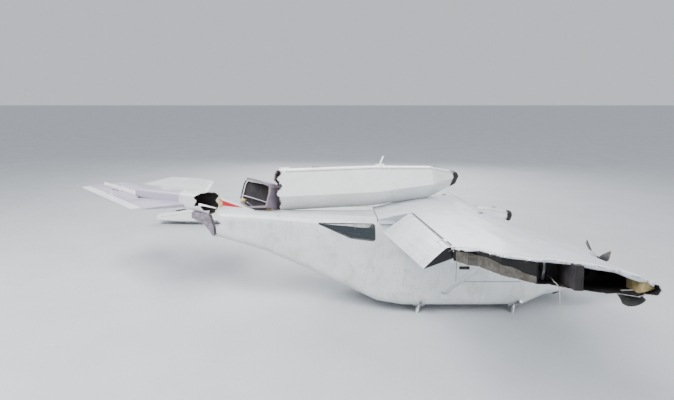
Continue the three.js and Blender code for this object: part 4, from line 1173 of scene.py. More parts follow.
# Floats: rubber bumper, rub rails, keel strip, hatches, cleats and seams, on what is left of each hull
floatRows = [(0, 120, 250, 320, 420), (-450, 265, 70, 190, 478), (-1300, 310, 0, 110, 500),
             (-2600, 310, 0, 110, 500), (-2620, 310, 55, 150, 500), (-4100, 225, 180, 235, 476),
             (-4800, 130, 285, 318, 436)]
floats = {
    "farFloat": {"place": farFloatPlace, "node": "float_right", "span": (-20, -4770),
                 "bumper": True, "keel": True},
    "bow": {"place": bowPlace, "node": "float_left_bow", "span": (-20, -2530), "bumper": True,
            "keel": True},
    "stern": {"place": sternPlace, "node": "float_left_stern", "span": (-3390, -4770),
              "bumper": False, "keel": False},
}
floatKit = {
    "hatches": [-700, -1850, -2250, -3600, -4350], "hatchRadius": 96,
    "cleats": [-330, -2050, -4500],
    "seams": [-900, -1750, -2600, -3450, -4200],
    "railRadius": 8, "keelWidth": 26, "keelThick": 3,
    "rim": [(0, -2), (12, -2), (12, 3), (7, 6), (1, 6), (0, 4), (0, -2)],  # outwards of the hatch's radius
    "bumper": [(10, -22), (7, -6), (0, 2), (-40, 5), (-86, 5), (-92, 1)],  # along the hull, and growth
}


def floatSection(x):
    for before, after in zip(floatRows, floatRows[1:]):
        if after[0] <= x <= before[0]:
            share = (before[0] - x) / (before[0] - after[0])
            return [a + (b - a) * share for a, b in zip(before[1:], after[1:])]
    return floatRows[-1][1:]


def floatOutline(x, grow=0.0):
    half, keel, chine, deck = floatSection(x)
    right = [(0, keel - grow), (half + grow, chine - grow * 0.4), (half + grow, deck - 90),
             (half - 22 + grow, deck - 40), (half - 80, deck - 8 + grow), (0, deck + 6 + grow)]
    return right + [(-y, z) for y, z in right[-2:0:-1]]


def makeFloatKit(name, values):
    place, node, (front, back) = values["place"], values["node"], values["span"]
    down, ahead = directionIn(place, 0, 0, -1), directionIn(place, 1, 0, 0)

    def inSpan(kind):
        return [x for x in floatKit[kind] if back + 60 < x < front - 60]

    def onDeck(x, y):
        hit = landOn(node, inMm(place, x, y, 700), down, 0.5)
        return facingPlace(*hit, ahead) if hit else None

    rails = []
    for side in (-1, 1):
        path = []
        for x in steps(front, back, 120):
            half, _, _, deck = floatSection(x)
            path.append(inMm(place, x, side * (half + 1), deck - 62))
        rails.append(tubeParts(path, floatKit["railRadius"] * mm, 8))
    addParts(f"{name}RubRails", rails, "floatGelcoat", smooth=True)
    if values["keel"]:
        path = [withinBox(inMm(place, x, 0, floatSection(x)[1] - 1))
                for x in steps(front - 200, max(back, -2590), 90)]
        width, thick = floatKit["keelWidth"] * mm, floatKit["keelThick"] * mm
        addBoxedPiece(f"{name}KeelStrip", [ribbonParts(path, [down] * len(path), width, thick)], "aluminium",
                      smooth=False)
    lids, rims, bars, screws, cleats = [], [], [], [], []
    r = floatKit["hatchRadius"]
    for x in inSpan("hatches"):
        spot = onDeck(x, 0)
        if spot is None:
            continue
        rims.append(turnedParts(spot, [(r + out, z) for out, z in floatKit["rim"]], 40))
        lid = [(0, -1), (r - 1, -1), (r - 1, 5), (r - 9, 7), (r - 14, 4.5), (0, 4.5)]
        lids.append(turnedParts(spot, lid, 40))
        bars.append(blockParts(spot, (-52, -7, 4), (52, 7, 13), 3))
        for i in range(10):
            turn = spot @ Matrix.Rotation(2 * math.pi * i / 10, 4, "Z")
            screws.append(turnedParts(shifted(turn, r + 9.5, 0, 3), screwHead, 8))
    for x in inSpan("cleats"):
        half = floatSection(x)[0]
        for side in (-1, 1):
            spot = onDeck(x, side * (half - 105))
            if spot is None:
                continue
            horn = [inMm(spot, s * 55, 0, 20 + 3 * math.cos(1.5 * s)) for s in (-1, -0.5, 0, 0.5, 1)]
            cleats.append(tubeParts(horn, [3.5 * mm, 5.5 * mm, 6 * mm, 5.5 * mm, 3.5 * mm], 8))
            for foot in (-16, 16):
                cleats.append(turnedParts(shifted(spot, foot, 0, 0),
                                          [(0, -1), (10, -1), (10, 3), (5, 8), (5, 20), (0, 21)], 12))
    for kind, parts, finish in (("HatchLids", lids, "tabPaint"), ("HatchRims", rims, "rubber"),
                                ("HatchBars", bars, "plastic"), ("HatchScrews", screws, "aluminium"),
                                ("Cleats", cleats, "aluminium")):
        if parts:
            addParts(f"{name}{kind}", parts, finish, smooth=kind == "Cleats")
    rows = []
    for x in inSpan("seams"):
        outline = floatOutline(x)
        for (y0, z0), (y1, z1) in zip(outline, outline[1:] + outline[:1]):
            length = math.hypot(y1 - y0, z1 - z0)
            for t in steps(0, 1, 34 / max(length, 35)):
                y, z = y0 + (y1 - y0) * t, z0 + (z1 - z0) * t
                outward = Vector((0, (z1 - z0), -(y1 - y0)))
                middle = Vector((0, y, z - 260))
                if outward.dot(middle) < 0:
                    outward = -outward
                outward = directionIn(place, *outward).normalized()
                hit = landOn(node, inMm(place, x, y, z) + outward * 0.05, -outward, 0.12)
                if hit:
                    rows.append(hit)
    if rows:
        addRivets(f"{name}SeamRivets", rows, "floatGelcoat")
    if values["bumper"]:
        loops = []
        for x, grow in floatKit["bumper"]:
            loops.append([inMm(place, x, y, z) for y, z in floatOutline(min(x, 0), grow)])
        addBoxedPiece(f"{name}Bumper", [loftParts(loops)], "rubber", smooth=False)


for name, values in floats.items():
    makeFloatKit(name, values)
print("float fittings")


# Rubber gaskets round the panes, laid on the skin just outside each cut
outlines = {  # x and z in the airframe's own mm
    "doorPane": [(-430, 560), (226, 560), (226, 655), (-90, 878), (-430, 878)],
    "quarterPane": [(-1446, 790), (-1446, 975), (-2120, 968), (-1720, 812)],
}


def grown(outline, amount):
    # moves each side outwards
    area = sum(a[0] * b[1] - b[0] * a[1] for a, b in zip(outline, outline[1:] + outline[:1]))
    turn = 1 if area > 0 else -1
    result = []
    for i, point in enumerate(outline):
        before, after = Vector(outline[i - 1]), Vector(outline[(i + 1) % len(outline)])
        point = Vector(point)
        first, second = (point - before).normalized(), (after - point).normalized()
        normal = Vector((first.y + second.y, -first.x - second.x)).normalized() * turn
        reach = amount / max(0.4, abs(normal.dot(Vector((first.y, -first.x)))))
        result.append(point + normal * reach)
    return result


def gasketParts(node, outline, side, amount, radius):
    path, direction = [], directionIn(airframe, 0, -side, 0)
    corners = grown(outline, amount)
    for a, b in zip(corners, corners[1:] + corners[:1]):
        for t in steps(0, 1, 40 / max((b - a).length, 41)):
            x, z = a.lerp(b, t)
            hit = landOn(node, inMm(airframe, x, side * 900, z), direction, 0.9)
            if hit:
                path.append(hit[0] + hit[1] * radius * mm * 0.3)
    if len(path) < 4:
        return None
    return tubeParts(path + path[:2], radius * mm, 6)


gaskets = [("quarterGasketRight", "rear_fuselage", "quarterPane", -1, 6, 5.5, "root"),
           ("quarterGasketLeft", "rear_fuselage", "quarterPane", 1, 6, 5.5, "root"),
           ("doorGasketRight", "door_right", "doorPane", -1, 6, 5.0, "door_right"),
           ("doorGasketLeft", "door_left", "doorPane", 1, 6, 5.0, "door_left")]
for name, node, outline, side, amount, radius, body in gaskets:
    parts = gasketParts(node, outlines[outline], side, amount, radius)
    if parts:
        addParts(name, [parts], "rubber", body, smooth=True)
print("gaskets")


# Rivets of the rear fuselage
def bodyRows():
    rows = []
    for x in (-1440, -1700, -2060, -2420, -2800, -3120):
        for side in (-1, 1):
            for z in steps(1040, 420, 40):
                rows += rowOn("rear_fuselage", airframe, [(x, side * 500, z)], (0, -side, 0))
        for y in steps(-420, 420, 40):
            rows += rowOn("rear_fuselage", airframe, [(x, y, 1300)], (0, 0, -1))
    return rows


addRivets("rearFuselageRivets", bodyRows(), "rearPaint")


# The torn middle of the float: its frame, a near-black web across it as painted shade in the hollow, a
# stringer and foam
ringKit = {"section": -3110, "inset": 34, "frameWidth": 30, "webAt": 30,
           "stringer": (262, 232, 8)}  # half length, height and radius


def makeRingKit():
    outline = floatOutline(ringKit["section"], -ringKit["inset"])
    outline = [(y, min(z, 470)) for y, z in outline]
    corners = outline + outline[:2]
    path = []
    for (y0, z0), (y1, z1) in zip(corners, corners[1:-1] + corners[:1]):
        for t in (0.0, 0.33, 0.66):
            path.append((y0 + (y1 - y0) * t, z0 + (z1 - z0) * t))
    path = path[:len(outline) * 3] + path[:1]
    centre = Vector((0, 260))
    points, normals = [], []
    for y, z in path:
        points.append(inMm(middlePlace, 0, y, z))
        inward = (centre - Vector((y, z))).normalized()
        normals.append(directionIn(middlePlace, 0, inward.x, inward.y).normalized())
    frame = ribbonParts(points, normals, ringKit["frameWidth"] * mm, 4 * mm)
    addParts("ringFrame", [frame], "torn")
    # painted shade: a near-black sheet across the float's opening, where its inside lies in shade
    web = [(y * 0.97, 260 + (z - 260) * 0.96) for y, z in outline]
    x = ringKit["webAt"]
    loops = [[inMm(middlePlace, x + d, y, z) for y, z in web] for d in (0, 4)]
    addParts("ringShadeWeb", [loftParts(loops)], "shadeNearBlack")
    half, z, radius = ringKit["stringer"]
    path = [inMm(middlePlace, -14 + 10 * math.sin(t * 3), half * (2 * t - 1), z + 12 * math.sin(2 * t))
            for t in steps(0, 1, 0.1)]
    addParts("ringStringers", [tubeParts(path, radius * mm, 8)], "mauvePaint", smooth=True)
    chance = random.Random("ringFoam")
    lumps = []
    for y, z, wide in ((-226, 160, 60), (196, 168, 52), (-190, 396, 46)):
        loops = []
        for k in range(7):
            angle = math.pi * (k / 6 - 0.5)
            size = max(0.08, math.cos(angle)) * wide
            loops.append([inMm(middlePlace, 4 + math.sin(angle) * wide * 0.8,
                               y + size * math.cos(a) * chance.uniform(0.8, 1.1),
                               z + size * math.sin(a) * chance.uniform(0.7, 1.0)) for a in roundAngles(10)])
        lumps.append(loftParts(loops))
    addParts("ringFoam", lumps, "foam")


makeRingKit()


# Tail: the torn skin that stands along the stabiliser, a bracket, the tab's broken rod, a tail lamp and the
# frames inside the break
tailKit = {"strip": {"x": (-157, -108), "from": 872, "to": -330, "height": (50, 72)}, "bracket": (-86, -345)}


def makeTailKit():
    chance = random.Random("tailStrip")
    values = tailKit["strip"]
    rows = [[], [], [], []]
    for y in steps(values["from"], values["to"], 28):
        share = (values["from"] - y) / (values["from"] - values["to"])
        high = values["height"][0] + (values["height"][1] - values["height"][0]) * share
        high *= chance.uniform(0.86, 1.08)
        for k, row in enumerate(rows):
            t = k / 3
            x = values["x"][0] + (values["x"][1] - values["x"][0]) * share
            row.append(inMm(stabiliserPlace, x + 18 * t * t, y, 24 + high * t))
    addParts("raisedTornStrip", [sheetParts(rows, 2.2 * mm)], "tabPaint", smooth=True)
    x, y = tailKit["bracket"]
    spot = shifted(stabiliserPlace, x, y, 26)
    brackets = [blockParts(spot, (-46, -14, -2), (34, 14, 5), 1.5),
                blockParts(spot, (-10, -9, 4), (10, 9, 60), 2),
                blockParts(spot, (-30, -5, 30), (26, 5, 46), 2)]
    addParts("stabiliserBracket", brackets, "plastic")
    screws = [turnedParts(shifted(spot, x, y, 5), boltHead, 8)
              for x, y in ((-38, -7), (-38, 7), (26, -7), (26, 7))]
    addParts("stabiliserBracketBolts", screws, "aluminium")
    tabPlace = Matrix.Translation((-2.8933, -0.0117, 1.2217)) @ stabiliserPlace.to_3x3().to_4x4()
    horn = [tubeParts([inMm(tabPlace, -12, 0, 74), inMm(tabPlace, -14, 0, 92), inMm(tabPlace, 2, -10, 97),
                       inMm(tabPlace, 40, -60, 88), inMm(tabPlace, 44, -66, 58)],
                      [4 * mm, 4 * mm, 4 * mm, 3.5 * mm, 2 * mm], 8)]
    addParts("tabHornRod", horn, "plastic", "trim_tab")
    lamp = turnedParts(finPlace @ Matrix.Translation((-0.64, 0, 0.93)),
                       [(0, 0), (13, 0), (13, 12), (9, 24), (0, 29)], 16)
    addParts("tailLamp", [lamp], "lampGlass", smooth=True)
    ribs = []
    for x, half, bottom, top in ((-3180, 152, 716, 1072), (-2960, 176, 650, 1070)):
        ring = []
        for i in range(33):
            a = 2 * math.pi * i / 32
            across, rise = (math.copysign(abs(value) ** 0.7, value) for value in (math.cos(a), math.sin(a)))
            ring.append(inMm(airframe, x, (half - 14) * across,
                             (top + bottom) / 2 + ((top - bottom) / 2 - 18) * rise))
        ribs.append(tubeParts(ring, 8 * mm, 6))
    addParts("breakFrames", ribs, "primer", smooth=True)


makeTailKit()
rudderRows = []
for down in ((0, -1, 0), (0, 1, 0)):
    for z in (120, 300, 480, 660, 840):
        for x in steps(-90, -560, 40):
            rudderRows += rowOn("fin", finPlace, [(x, 0, z)], down)
addRivets("finRivets", rudderRows, "bodyPaint")
print("tail fittings")


# Wing fittings: fuel caps, a pitot head, strut cuffs and their bolts, door handles and hinge screws
def makeFittings():
    caps, straps, bolts = [], [], []
    for node, place, sign in (("wing_left", leftWing, 1), ("wing_right", rightWing, -1)):
        hit = landOn(node, inMm(place, -330, sign * 420, 500), directionIn(place, 0, 0, -1))
        spot = facingPlace(hit[0], hit[1])
        cap = [(0, -1), (42, -1), (42, 1.5), (30, 3), (29, 9), (24, 11), (0, 11)]
        caps.append(turnedParts(spot, cap, 32))
        caps.append(blockParts(spot, (-22, -4, 10), (22, 4, 19), 2))
    addParts("fuelCaps", caps, "aluminium")
    for sign in (-1, 1):
        foot = Vector((-620, sign * 520, 150))
        top = Vector((-460, sign * 2300, 1052 + math.tan(math.radians(1)) * 1750))
        for spot, share in ((foot, 0.035), (top, 0.955)):
            at = foot.lerp(top, share)
            along = (top - foot).normalized()
            side = Vector((1, 0, 0))
            side = (side - along * side.dot(along)).normalized()
            turn = Matrix((side, along, side.cross(along))).transposed().to_4x4()
            place = airframe @ Matrix.Translation(at * mm) @ turn
            loops = [[inMm(place, wide * math.cos(a), y, deep * math.sin(a)) for a in roundAngles(20)]
                     for y, wide, deep in ((-34, 45.4, 18.4), (-30, 47, 20), (30, 47, 20), (34, 45.4, 18.4))]
            straps.append(loftParts(loops))
            for x in (-22, 0, 22):
                for face in (-1, 1):
                    bolts.append(turnedParts(shifted(place, x, 0, face * 18)
                                             @ turned((0 if face > 0 else 180, 0, 0)), boltHead, 8))
    addParts("strutCuffs", straps, "aluminium", smooth=True)
    addParts("strutBolts", bolts, "aluminium")
    pitot = [inMm(leftWing, -120, 2620, sectionZ(0.12)[1] + 4), inMm(leftWing, -120, 2620, -86),
             inMm(leftWing, -96, 2620, -104), inMm(leftWing, -40, 2620, -106), inMm(leftWing, 30, 2620, -106)]
    addParts("pitotHead", [tubeParts(pitot, [6 * mm, 6 * mm, 6 * mm, 5 * mm, 4 * mm], 12)], "aluminium",
             smooth=True)
    for side, name in ((-1, "right"), (1, "left")):
        hit = landOn(f"door_{name}", inMm(airframe, -380, side * 900, 470),
                     directionIn(airframe, 0, -side, 0))
        spot = facingPlace(hit[0], hit[1])
        lock = spot @ Matrix.Translation((0.046, 0, 0.002))
        parts = [blockParts(spot, (-62, -20, -1), (62, 20, 2.2), 2),
                 blockParts(spot, (-50, -9, 2), (30, 7, 15), 4),
                 turnedParts(lock, [(0, 0), (11, 0), (11, 4), (8, 6), (0, 6)], 16)]
        addParts(f"doorHandle_{name}", parts, "plastic", f"door_{name}")
        heads = []
        for x in (-133, -167, -403, -437):
            hit = landOn(f"door_{name}", inMm(airframe, x, side * 900, 892),
                         directionIn(airframe, 0, -side, 0))
            if hit:
                heads.append(turnedParts(facingPlace(*hit), screwHead, 10))
        addParts(f"doorHingeScrews_{name}", heads, "aluminium", f"door_{name}")


makeFittings()
print("wing and door fittings")


# Torn edges: the white skin that curls over the wing's tear, the rib's web below it, the strake's bare core,
# a bent frame strip at the break, a crack in the skin, and dark rubber strips along the flaps' hinges as
# painted shade in the hinge slots
tearLine = [(-1000, 2200), (-940, 2330), (-870, 2350), (-780, 2600), (-700, 2690), (-620, 2800), (-540, 2795),
            (-450, 2880), (-340, 2925), (-260, 2985), (-190, 2970), (-120, 3060), (-60, 3040), (-30, 3092)]
edgeKit = {
    "lip": {"line": tearLine, "drop": (5, 34)},
    "strakeCore": {"x": (-3402, -3350), "z": (1128, 1246), "half": 18},
    "strip": [(-3624, -129, 1177), (-3542, -138, 1163), (-3478, -147, 1149), (-3399, -150, 1132)],
    "web": {"x": (-1010, -600), "line": [(-1030, 2158)] + tearLine[1:7]},
    "crack": {"from": (-1030, 2128), "to": (-915, 2262)},
}


def makeEdges():
    values = edgeKit["lip"]
    rows = [[] for _ in range(6)]
    least, most = values["drop"]
    for x, y in thirds(values["line"]):
        high, low = sectionZ(-x / wing["chord"])
        share = 1 + x / 1000
        drop = min(least + (most - least) * max(share, 0) ** 0.7, (high - low) * 0.55)
        drop *= 1 + 0.18 * math.sin(x / 31)
        shape = ((-44, 1.6), (-12, 1.8), (3, 0.6), (9, -0.3 * drop), (9, -0.7 * drop), (4, -drop))
        for row, (out, rise) in zip(rows, shape):
            row.append(withinBox(inMm(rightWing, x, -(y + out), high + rise)))
    addParts("curledWingSkin", [sheetParts(rows, 1.6 * mm)], "wingPaint", smooth=True)
    values = edgeKit["web"]
    low, high = [], []
    back, front = values["x"]
    for x, y in thirds(values["line"]):
        if back <= x <= front:
            top, bottom = sectionZ(-x / wing["chord"])
            share = (x - back) / (front - back)
            crest = (top - 16) * (1 - share) + (bottom + 42) * share
            low.append(inMm(rightWing, x, -(y + 5), bottom + 3))
            high.append(inMm(rightWing, x, -(y + 5), crest + 5 * math.sin(x / 17)))
    addParts("aftRibWeb", [sheetParts([low, high], 1.5 * mm)], "ribAlloy")
    values = edgeKit["strakeCore"]
    chance = random.Random("strakeCore")
    loops = []
    for i in range(7):
        x = values["x"][0] + (values["x"][1] - values["x"][0]) * i / 6
        low, high = values["z"][0] + chance.uniform(-5, 6), values["z"][1] - 6 * i + chance.uniform(-7, 5)
        half = values["half"] + chance.uniform(-0.6, 1.2)
        loops.append([inMm(airframe, x, y, z) for y, z in (
            (-half, low), (half, low), (half, high - 12), (half * 0.4, high), (-half * 0.4, high),
            (-half, high - 12))])
    addParts("strakeCore", [loftParts(loops)], "foam")
    path = smoothPath([inMm(airframe, *point) for point in edgeKit["strip"]], 4)
    side = airframe.to_3x3() @ Vector((0, -1, 0.4)).normalized()
    addParts("bentFrameStrip", [ribbonParts(path, [side] * len(path), 26 * mm, 3 * mm, 0.5)], "tabPaint")
    values = edgeKit["crack"]
    points, normals = [], []
    for i in range(8):
        t = i / 7
        x = values["from"][0] + (values["to"][0] - values["from"][0]) * t
        y = values["from"][1] + (values["to"][1] - values["from"][1]) * t + 6 * math.sin(7 * t)
        hit = landOn("wing_right", inMm(rightWing, x, -y, 400), directionIn(rightWing, 0, 0, -1))
        if hit and hit[1].z > 0.5:
            points.append(hit[0])
            normals.append(hit[1])
    addParts("skinCrack", [ribbonParts(points, normals, 13 * mm, 1.2 * mm, 0.12)], "shadeNearBlack")
    # painted shade: a dark rubber strip on each wing's top skin at the flap's hinge, darkening the slot where
    # it lies in shade
    for node, place, sign in (("wing_right", rightWing, -1), ("wing_left", leftWing, 1)):
        points, normals = [], []
        for y in steps(20, 2120, 60):
            for x in range(-1030, -940, 5):
                hit = landOn(node, inMm(place, x, sign * y, 400), directionIn(place, 0, 0, -1))
                if hit and hit[1].z > 0.6:
                    break
            hit = landOn(node, inMm(place, x + 9, sign * y, 400), directionIn(place, 0, 0, -1))
            if hit:
                points.append(hit[0])
                normals.append(hit[1])
        print(f"hinge seal on {node}: {len(points)} points, last at x {x}")
        addParts(f"hingeShadeStrip_{node}", [ribbonParts(points, normals, 15 * mm, 1.4 * mm)], "rubber")


makeEdges()
print("torn edges and seals")


# Seats: a moulded shell, two blown pads with piped rims and sewn channels, and a four-point harness
seat = {
    "sides": {"left": 238, "right": -238},
    "shell": [(-82, 2), (-82, 240), (-96, 254), (-500, 234), (-530, 262), (-646, 796), (-659, 797),
              (-651, 600), (-601, 240), (-521, 2)],
    "shellHalf": 207,
    "pads": {
        "base": {"at": (-292, 246), "pitch": -2.8, "size": (386, 392, 72), "channels": (-62, 62)},
        "back": {"at": (-584, 532), "pitch": 77.8, "size": (430, 392, 56), "channels": (-110, 0, 110)},
    },
    "voxel": 6, "corner": 34, "swell": 15, "pressure": 4.0, "frames": 20,
    "webbing": (46, 1.8),
}


def padForm(place, size):
    length, width, thick = size
    loops = []
    for z, inset in ((0, 7), (7, 1), (14, 0), (thick - 15, 0), (thick - 5, 4), (thick, 13)):
        corner = seat["corner"]
        loop = []
        for cx, cy, start in ((1, 1, 0), (-1, 1, 90), (-1, -1, 180), (1, -1, 270)):
            for turn in (0, 22.5, 45, 67.5, 90):
                a = math.radians(start + turn)
                loop.append(inMm(place, cx * (length / 2 - inset - corner) + corner * math.cos(a),
                                 cy * (width / 2 - inset - corner) + corner * math.sin(a), z))
        loops.append(loop)
    return loftParts(loops)


def bakedMesh(holder):
    return bpy.data.meshes.new_from_object(holder.evaluated_get(bpy.context.evaluated_depsgraph_get()))


def blownPad(name, place, size, channels):
    holder = bpy.data.objects.new(name, meshFrom(name, *padForm(place, size)))
    bpy.context.scene.collection.objects.link(holder)
    voxels = holder.modifiers.new("voxels", "REMESH")
    voxels.mode, voxels.voxel_size = "VOXEL", seat["voxel"] * mm
    mesh = bakedMesh(holder)
    holder.modifiers.clear()
    holder.data = mesh
    own = place.inverted()
    length, width, thick = size
    held = []
    for vertex in mesh.vertices:
        x, y, z = (value / mm for value in own @ vertex.co)
        edge = min(length / 2 - abs(x), width / 2 - abs(y))
        onRim = edge < 11 and abs(z - (thick - 6)) < 7
        onChannel = z > thick - 8 and any(abs(x - at) < 4 for at in channels)
        if z < 9 or onRim or onChannel:
            held.append(vertex.index)
        if onChannel and not onRim:
            vertex.co -= directionIn(place, 0, 0, 5 * mm)
    group = holder.vertex_groups.new(name="held")
    group.add(held, 1.0, "REPLACE")
    cloth = holder.modifiers.new("pressure", "CLOTH")
    cloth.settings.use_pressure = True
    cloth.settings.uniform_pressure_force = seat["pressure"]
    cloth.settings.vertex_group_mass = "held"
    cloth.settings.effector_weights.gravity = 0
    cloth.point_cache.frame_start, cloth.point_cache.frame_end = 1, seat["frames"]
    for number in range(1, seat["frames"] + 1):
        bpy.context.scene.frame_set(number)
    before = [vertex.co.copy() for vertex in mesh.vertices]
    blown = bakedMesh(holder)
    holder.modifiers.clear()
    bpy.context.scene.frame_set(1)
    most = seat["swell"] * mm
    for vertex, start in zip(blown.vertices, before):
        move = vertex.co - start
        if move.length > most:
            vertex.co = start + move.normalized() * most
    holder.data = blown
    finer = holder.modifiers.new("finer", "SUBSURF")
    finer.levels = finer.render_levels = 1
    mesh = bakedMesh(holder)
    bpy.data.objects.remove(holder)
    mesh.name = name
    piece = addPiece(name, mesh, "cloth")
    return mesh


def makeSeat(side, y):
    pads, seams, trees = [], [], {}
    half = seat["shellHalf"]
    loops = [[inMm(airframe, x, y + offset, z) for x, z in seat["shell"]]
             for offset in (-half, -half + 6, half - 6, half)]
    shell = addParts(f"seatShell_{side}", [loftParts(loops)], "primer")
    for kind, values in seat["pads"].items():
        x, z = values["at"]
        place = airframe @ placed((x * mm, y * mm, z * mm), (0, values["pitch"], 0))
        name = f"seat{kind.capitalize()}Pad_{side}"
        mesh = blownPad(name, place, values["size"], values["channels"])
        pads.append(name)
        tree = BVHTree.FromPolygons([v.co for v in mesh.vertices], [p.vertices for p in mesh.polygons])
        trees[kind] = (tree, place)
        length, width, thick = values["size"]
        loop = padForm(place, (length, width, thick))[0][80:100]
        seams.append(tubeParts(loop + loop[:2], 3.4 * mm, 8))
        for x in values["channels"]:
            for share in steps(-width / 2 + 24, width / 2 - 24, 9):
                hit = tree.ray_cast(inMm(place, x, share, 200), -directionIn(place, 0, 0, 1), 0.4)
                if hit[0] is not None:
                    seams.append(blockParts(facingPlace(hit[0], hit[1], directionIn(place, 0, 1, 0)),
                                            (-3, -0.7, -0.4), (3, 0.7, 0.9), 0.3))
    addParts(f"seatPiping_{side}", seams, "piping", smooth=True)
    straps = []
    wide, thick = seat["webbing"]

    def lay(kind, spots, lift=1.5):
        tree, place = trees[kind]
        up = directionIn(place, 0, 0, 1)
        path = []
        for x, across in spots:
            spot, normal, _, _ = tree.ray_cast(inMm(place, x, across, 220), -up, 0.5)
            path.append((spot if spot is not None else inMm(place, x, across, 2)) + up * lift * mm)
        return path, up

    for hand in (-1, 1):
        upper, facing = lay("back", [(x, hand * (82 - 0.13 * (x + 208))) for x in range(-206, 200, 22)])
        top = inMm(airframe, -652, y + hand * 84, 799)
        back, front = facing, directionIn(airframe, 0, 0, 1)
        lower, flat = lay("base", [(x, hand * (26 + 0.10 * (x + 150))) for x in range(-172, -40, 22)])
        path = [top, inMm(airframe, -628, y + hand * 84, 801)] + upper + lower
        normals = [front, (front + back).normalized()] + [back] * len(upper)
        normals += [(flat + back * 0.3).normalized()] * len(lower)
        straps.append(ribbonParts(path, normals, wide * mm, thick * mm))
        shares = (1, 0.85, 0.7, 0.55, 0.4, 0.25, 0.1)
        lap, flat = lay("base", [(-120 + 70 * (1 - s), hand * (184 * s + 18)) for s in shares])
        anchor = inMm(airframe, -440, y + hand * 209, 236)
        straps.append(ribbonParts([anchor] + lap, [directionIn(airframe, 0, hand, 0)] + [flat] * len(lap),
                                  wide * mm, thick * mm))
    addParts(f"harness_{side}", straps, "webbing")
    middle, flat = lay("base", [(-48, 0)], 3)
    place = facingPlace(middle[0], flat)
    addParts(f"harnessBuckle_{side}", [
        turnedParts(place, [(0, 0), (34, 0), (36, 3), (36, 11), (31, 16), (0, 17)], 32),
        turnedParts(place, [(0, 16), (21, 16), (19, 22), (8, 24), (0, 24)], 32),
        blockParts(place, (-3, -19, 22), (3, 19, 28), 1)], "aluminium")
    for piece in [shell] + [bpy.data.objects[name] for name in pads]:
        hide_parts(f"seat_{side}")


for side, y in seat["sides"].items():
    makeSeat(side, y)
print("seats and harness")


# Cabin: dials and switches on the panel, a throttle between the seats, pedals under the panel
cabin = {
    "dials": [(-300, 655, 38), (-205, 655, 38), (-300, 565, 38), (-205, 565, 38), (-105, 655, 28),
              (-105, 585, 28), (215, 650, 38), (310, 650, 38)],
    "screens": [((-60, 560), (120, 690))],
    "switches": [(-330 + 44 * i, 520) for i in range(15)],
    "pedals": [(side * 238 + step) for side in (-1, 1) for step in (-78, 78)],
}


def makeCabin():
    aft = directionIn(airframe, -1, 0, 0)
    up = directionIn(airframe, 0, 0, 1)
    bezels, faces, marks, knobs = [], [], [], []

    def onPanel(y, z):
        hit = landOn("instrument_panel", inMm(airframe, 0, y, z), -aft)
        return facingPlace(hit[0], hit[1], up) if hit else None

    for y, z, radius in cabin["dials"]:
        place = onPanel(y, z)
        if not place:
            continue
        bezels.append(turnedParts(place, [(radius - 4, 1), (radius - 4, 6), (radius, 7), (radius + 4, 4),
                                          (radius + 5, 0)], 32))
        faces.append(turnedParts(place, [(0, 0), (radius - 3, 0), (radius - 3, 2.4), (0, 2.4)], 32))
        for i in range(12):
            turn = place @ turned((0, 0, 30 * i))
            marks.append(blockParts(turn, (radius - 12, -0.8, 2.2), (radius - 6, 0.8, 3.0), 0.2))
        needle = place @ turned((0, 0, 40 + y * 0.7 + z))
        marks.append(blockParts(needle, (-6, -0.9, 2.8), (radius - 13, 0.9, 3.8), 0.2))
        for i in range(4):
            spot = shifted(place @ turned((0, 0, 45 + 90 * i)), radius + 11, 0, 0)
            knobs.append(turnedParts(spot, screwHead, 8))
    for (y0, z0), (y1, z1) in cabin["screens"]:
        place = onPanel((y0 + y1) / 2, (z0 + z1) / 2)
        if place:
            high, wide = (z1 - z0) / 2, (y1 - y0) / 2
            bezels.append(blockParts(place, (-high, -wide, 0), (high, wide, 9), 4))
            faces.append(blockParts(place, (-high + 12, -wide + 12, 8), (high - 12, wide - 12, 10), 1))
    for y, z in cabin["switches"]:
        place = onPanel(y, z)
        if place:
            bezels.append(turnedParts(place, [(0, 0), (8, 0), (8, 3), (5, 5), (0, 5)], 12))
            knobs.append(turnedParts(place @ turned((0, 24, 0)), [(0, 3), (2.4, 3), (3.2, 17), (0, 18)], 10))
    addParts("panelBezels", bezels, "plastic")
    addParts("panelDialFaces", faces, "dialGlass")
    addParts("panelDialMarks", marks, "tabPaint")
    addParts("panelKnobs", knobs, "aluminium")
    throttle = airframe @ placed((-0.300, 0, 0.001))
    addParts("throttleBase", [blockParts(throttle, (-90, -14, 0), (60, 14, 46), 5)], "plastic")
    rod = [inMm(throttle, x, 0, z) for x, z in ((-20, 40), (-8, 110), (4, 168))]
    addParts("throttleLever", [tubeParts(rod, 5 * mm, 12)], "aluminium", smooth=True)
    knob = throttle @ Matrix.Translation((0.004, 0, 0.168)) @ turned((0, 12, 0))
    profile = [(0, -4), (12, -2), (15, 8), (14, 24), (8, 32), (0, 33)]
    addParts("throttleKnob", [turnedParts(knob, profile, 20)], "rubber", smooth=True)
    arms, plates = [], []
    for y in cabin["pedals"]:
        arm = [inMm(airframe, x, y, z) for x, z in ((352, 3), (340, 90), (318, 160))]
        arms.append(tubeParts(arm, 9 * mm, 10))
        spot = airframe @ placed((0.318, y * mm, 0.158), (0, -68, 0))
        plates.append(blockParts(spot, (-46, -34, -3), (46, 34, 3), 3))
        for x in (-30, -15, 0, 15, 30):
            plates.append(blockParts(spot, (x - 2, -30, 2), (x + 2, 30, 6), 1))
    addParts("pedalArms", arms, "aluminium", smooth=True)
    addParts("pedalPlates", plates, "rubber")
    grip = airframe @ placed((0.033, 0, 0.560), (0, -4.4, 0))
    button = turnedParts(grip @ Matrix.Translation((0, 0, 0.021)), [(0, 0), (6, 0), (6, 5), (0, 7)], 12)
    addParts("stickSwitch", [blockParts(grip, (-26, -6, -8), (-17, 6, 8), 2), button], "piping")


makeCabin()
print("cabin fittings")


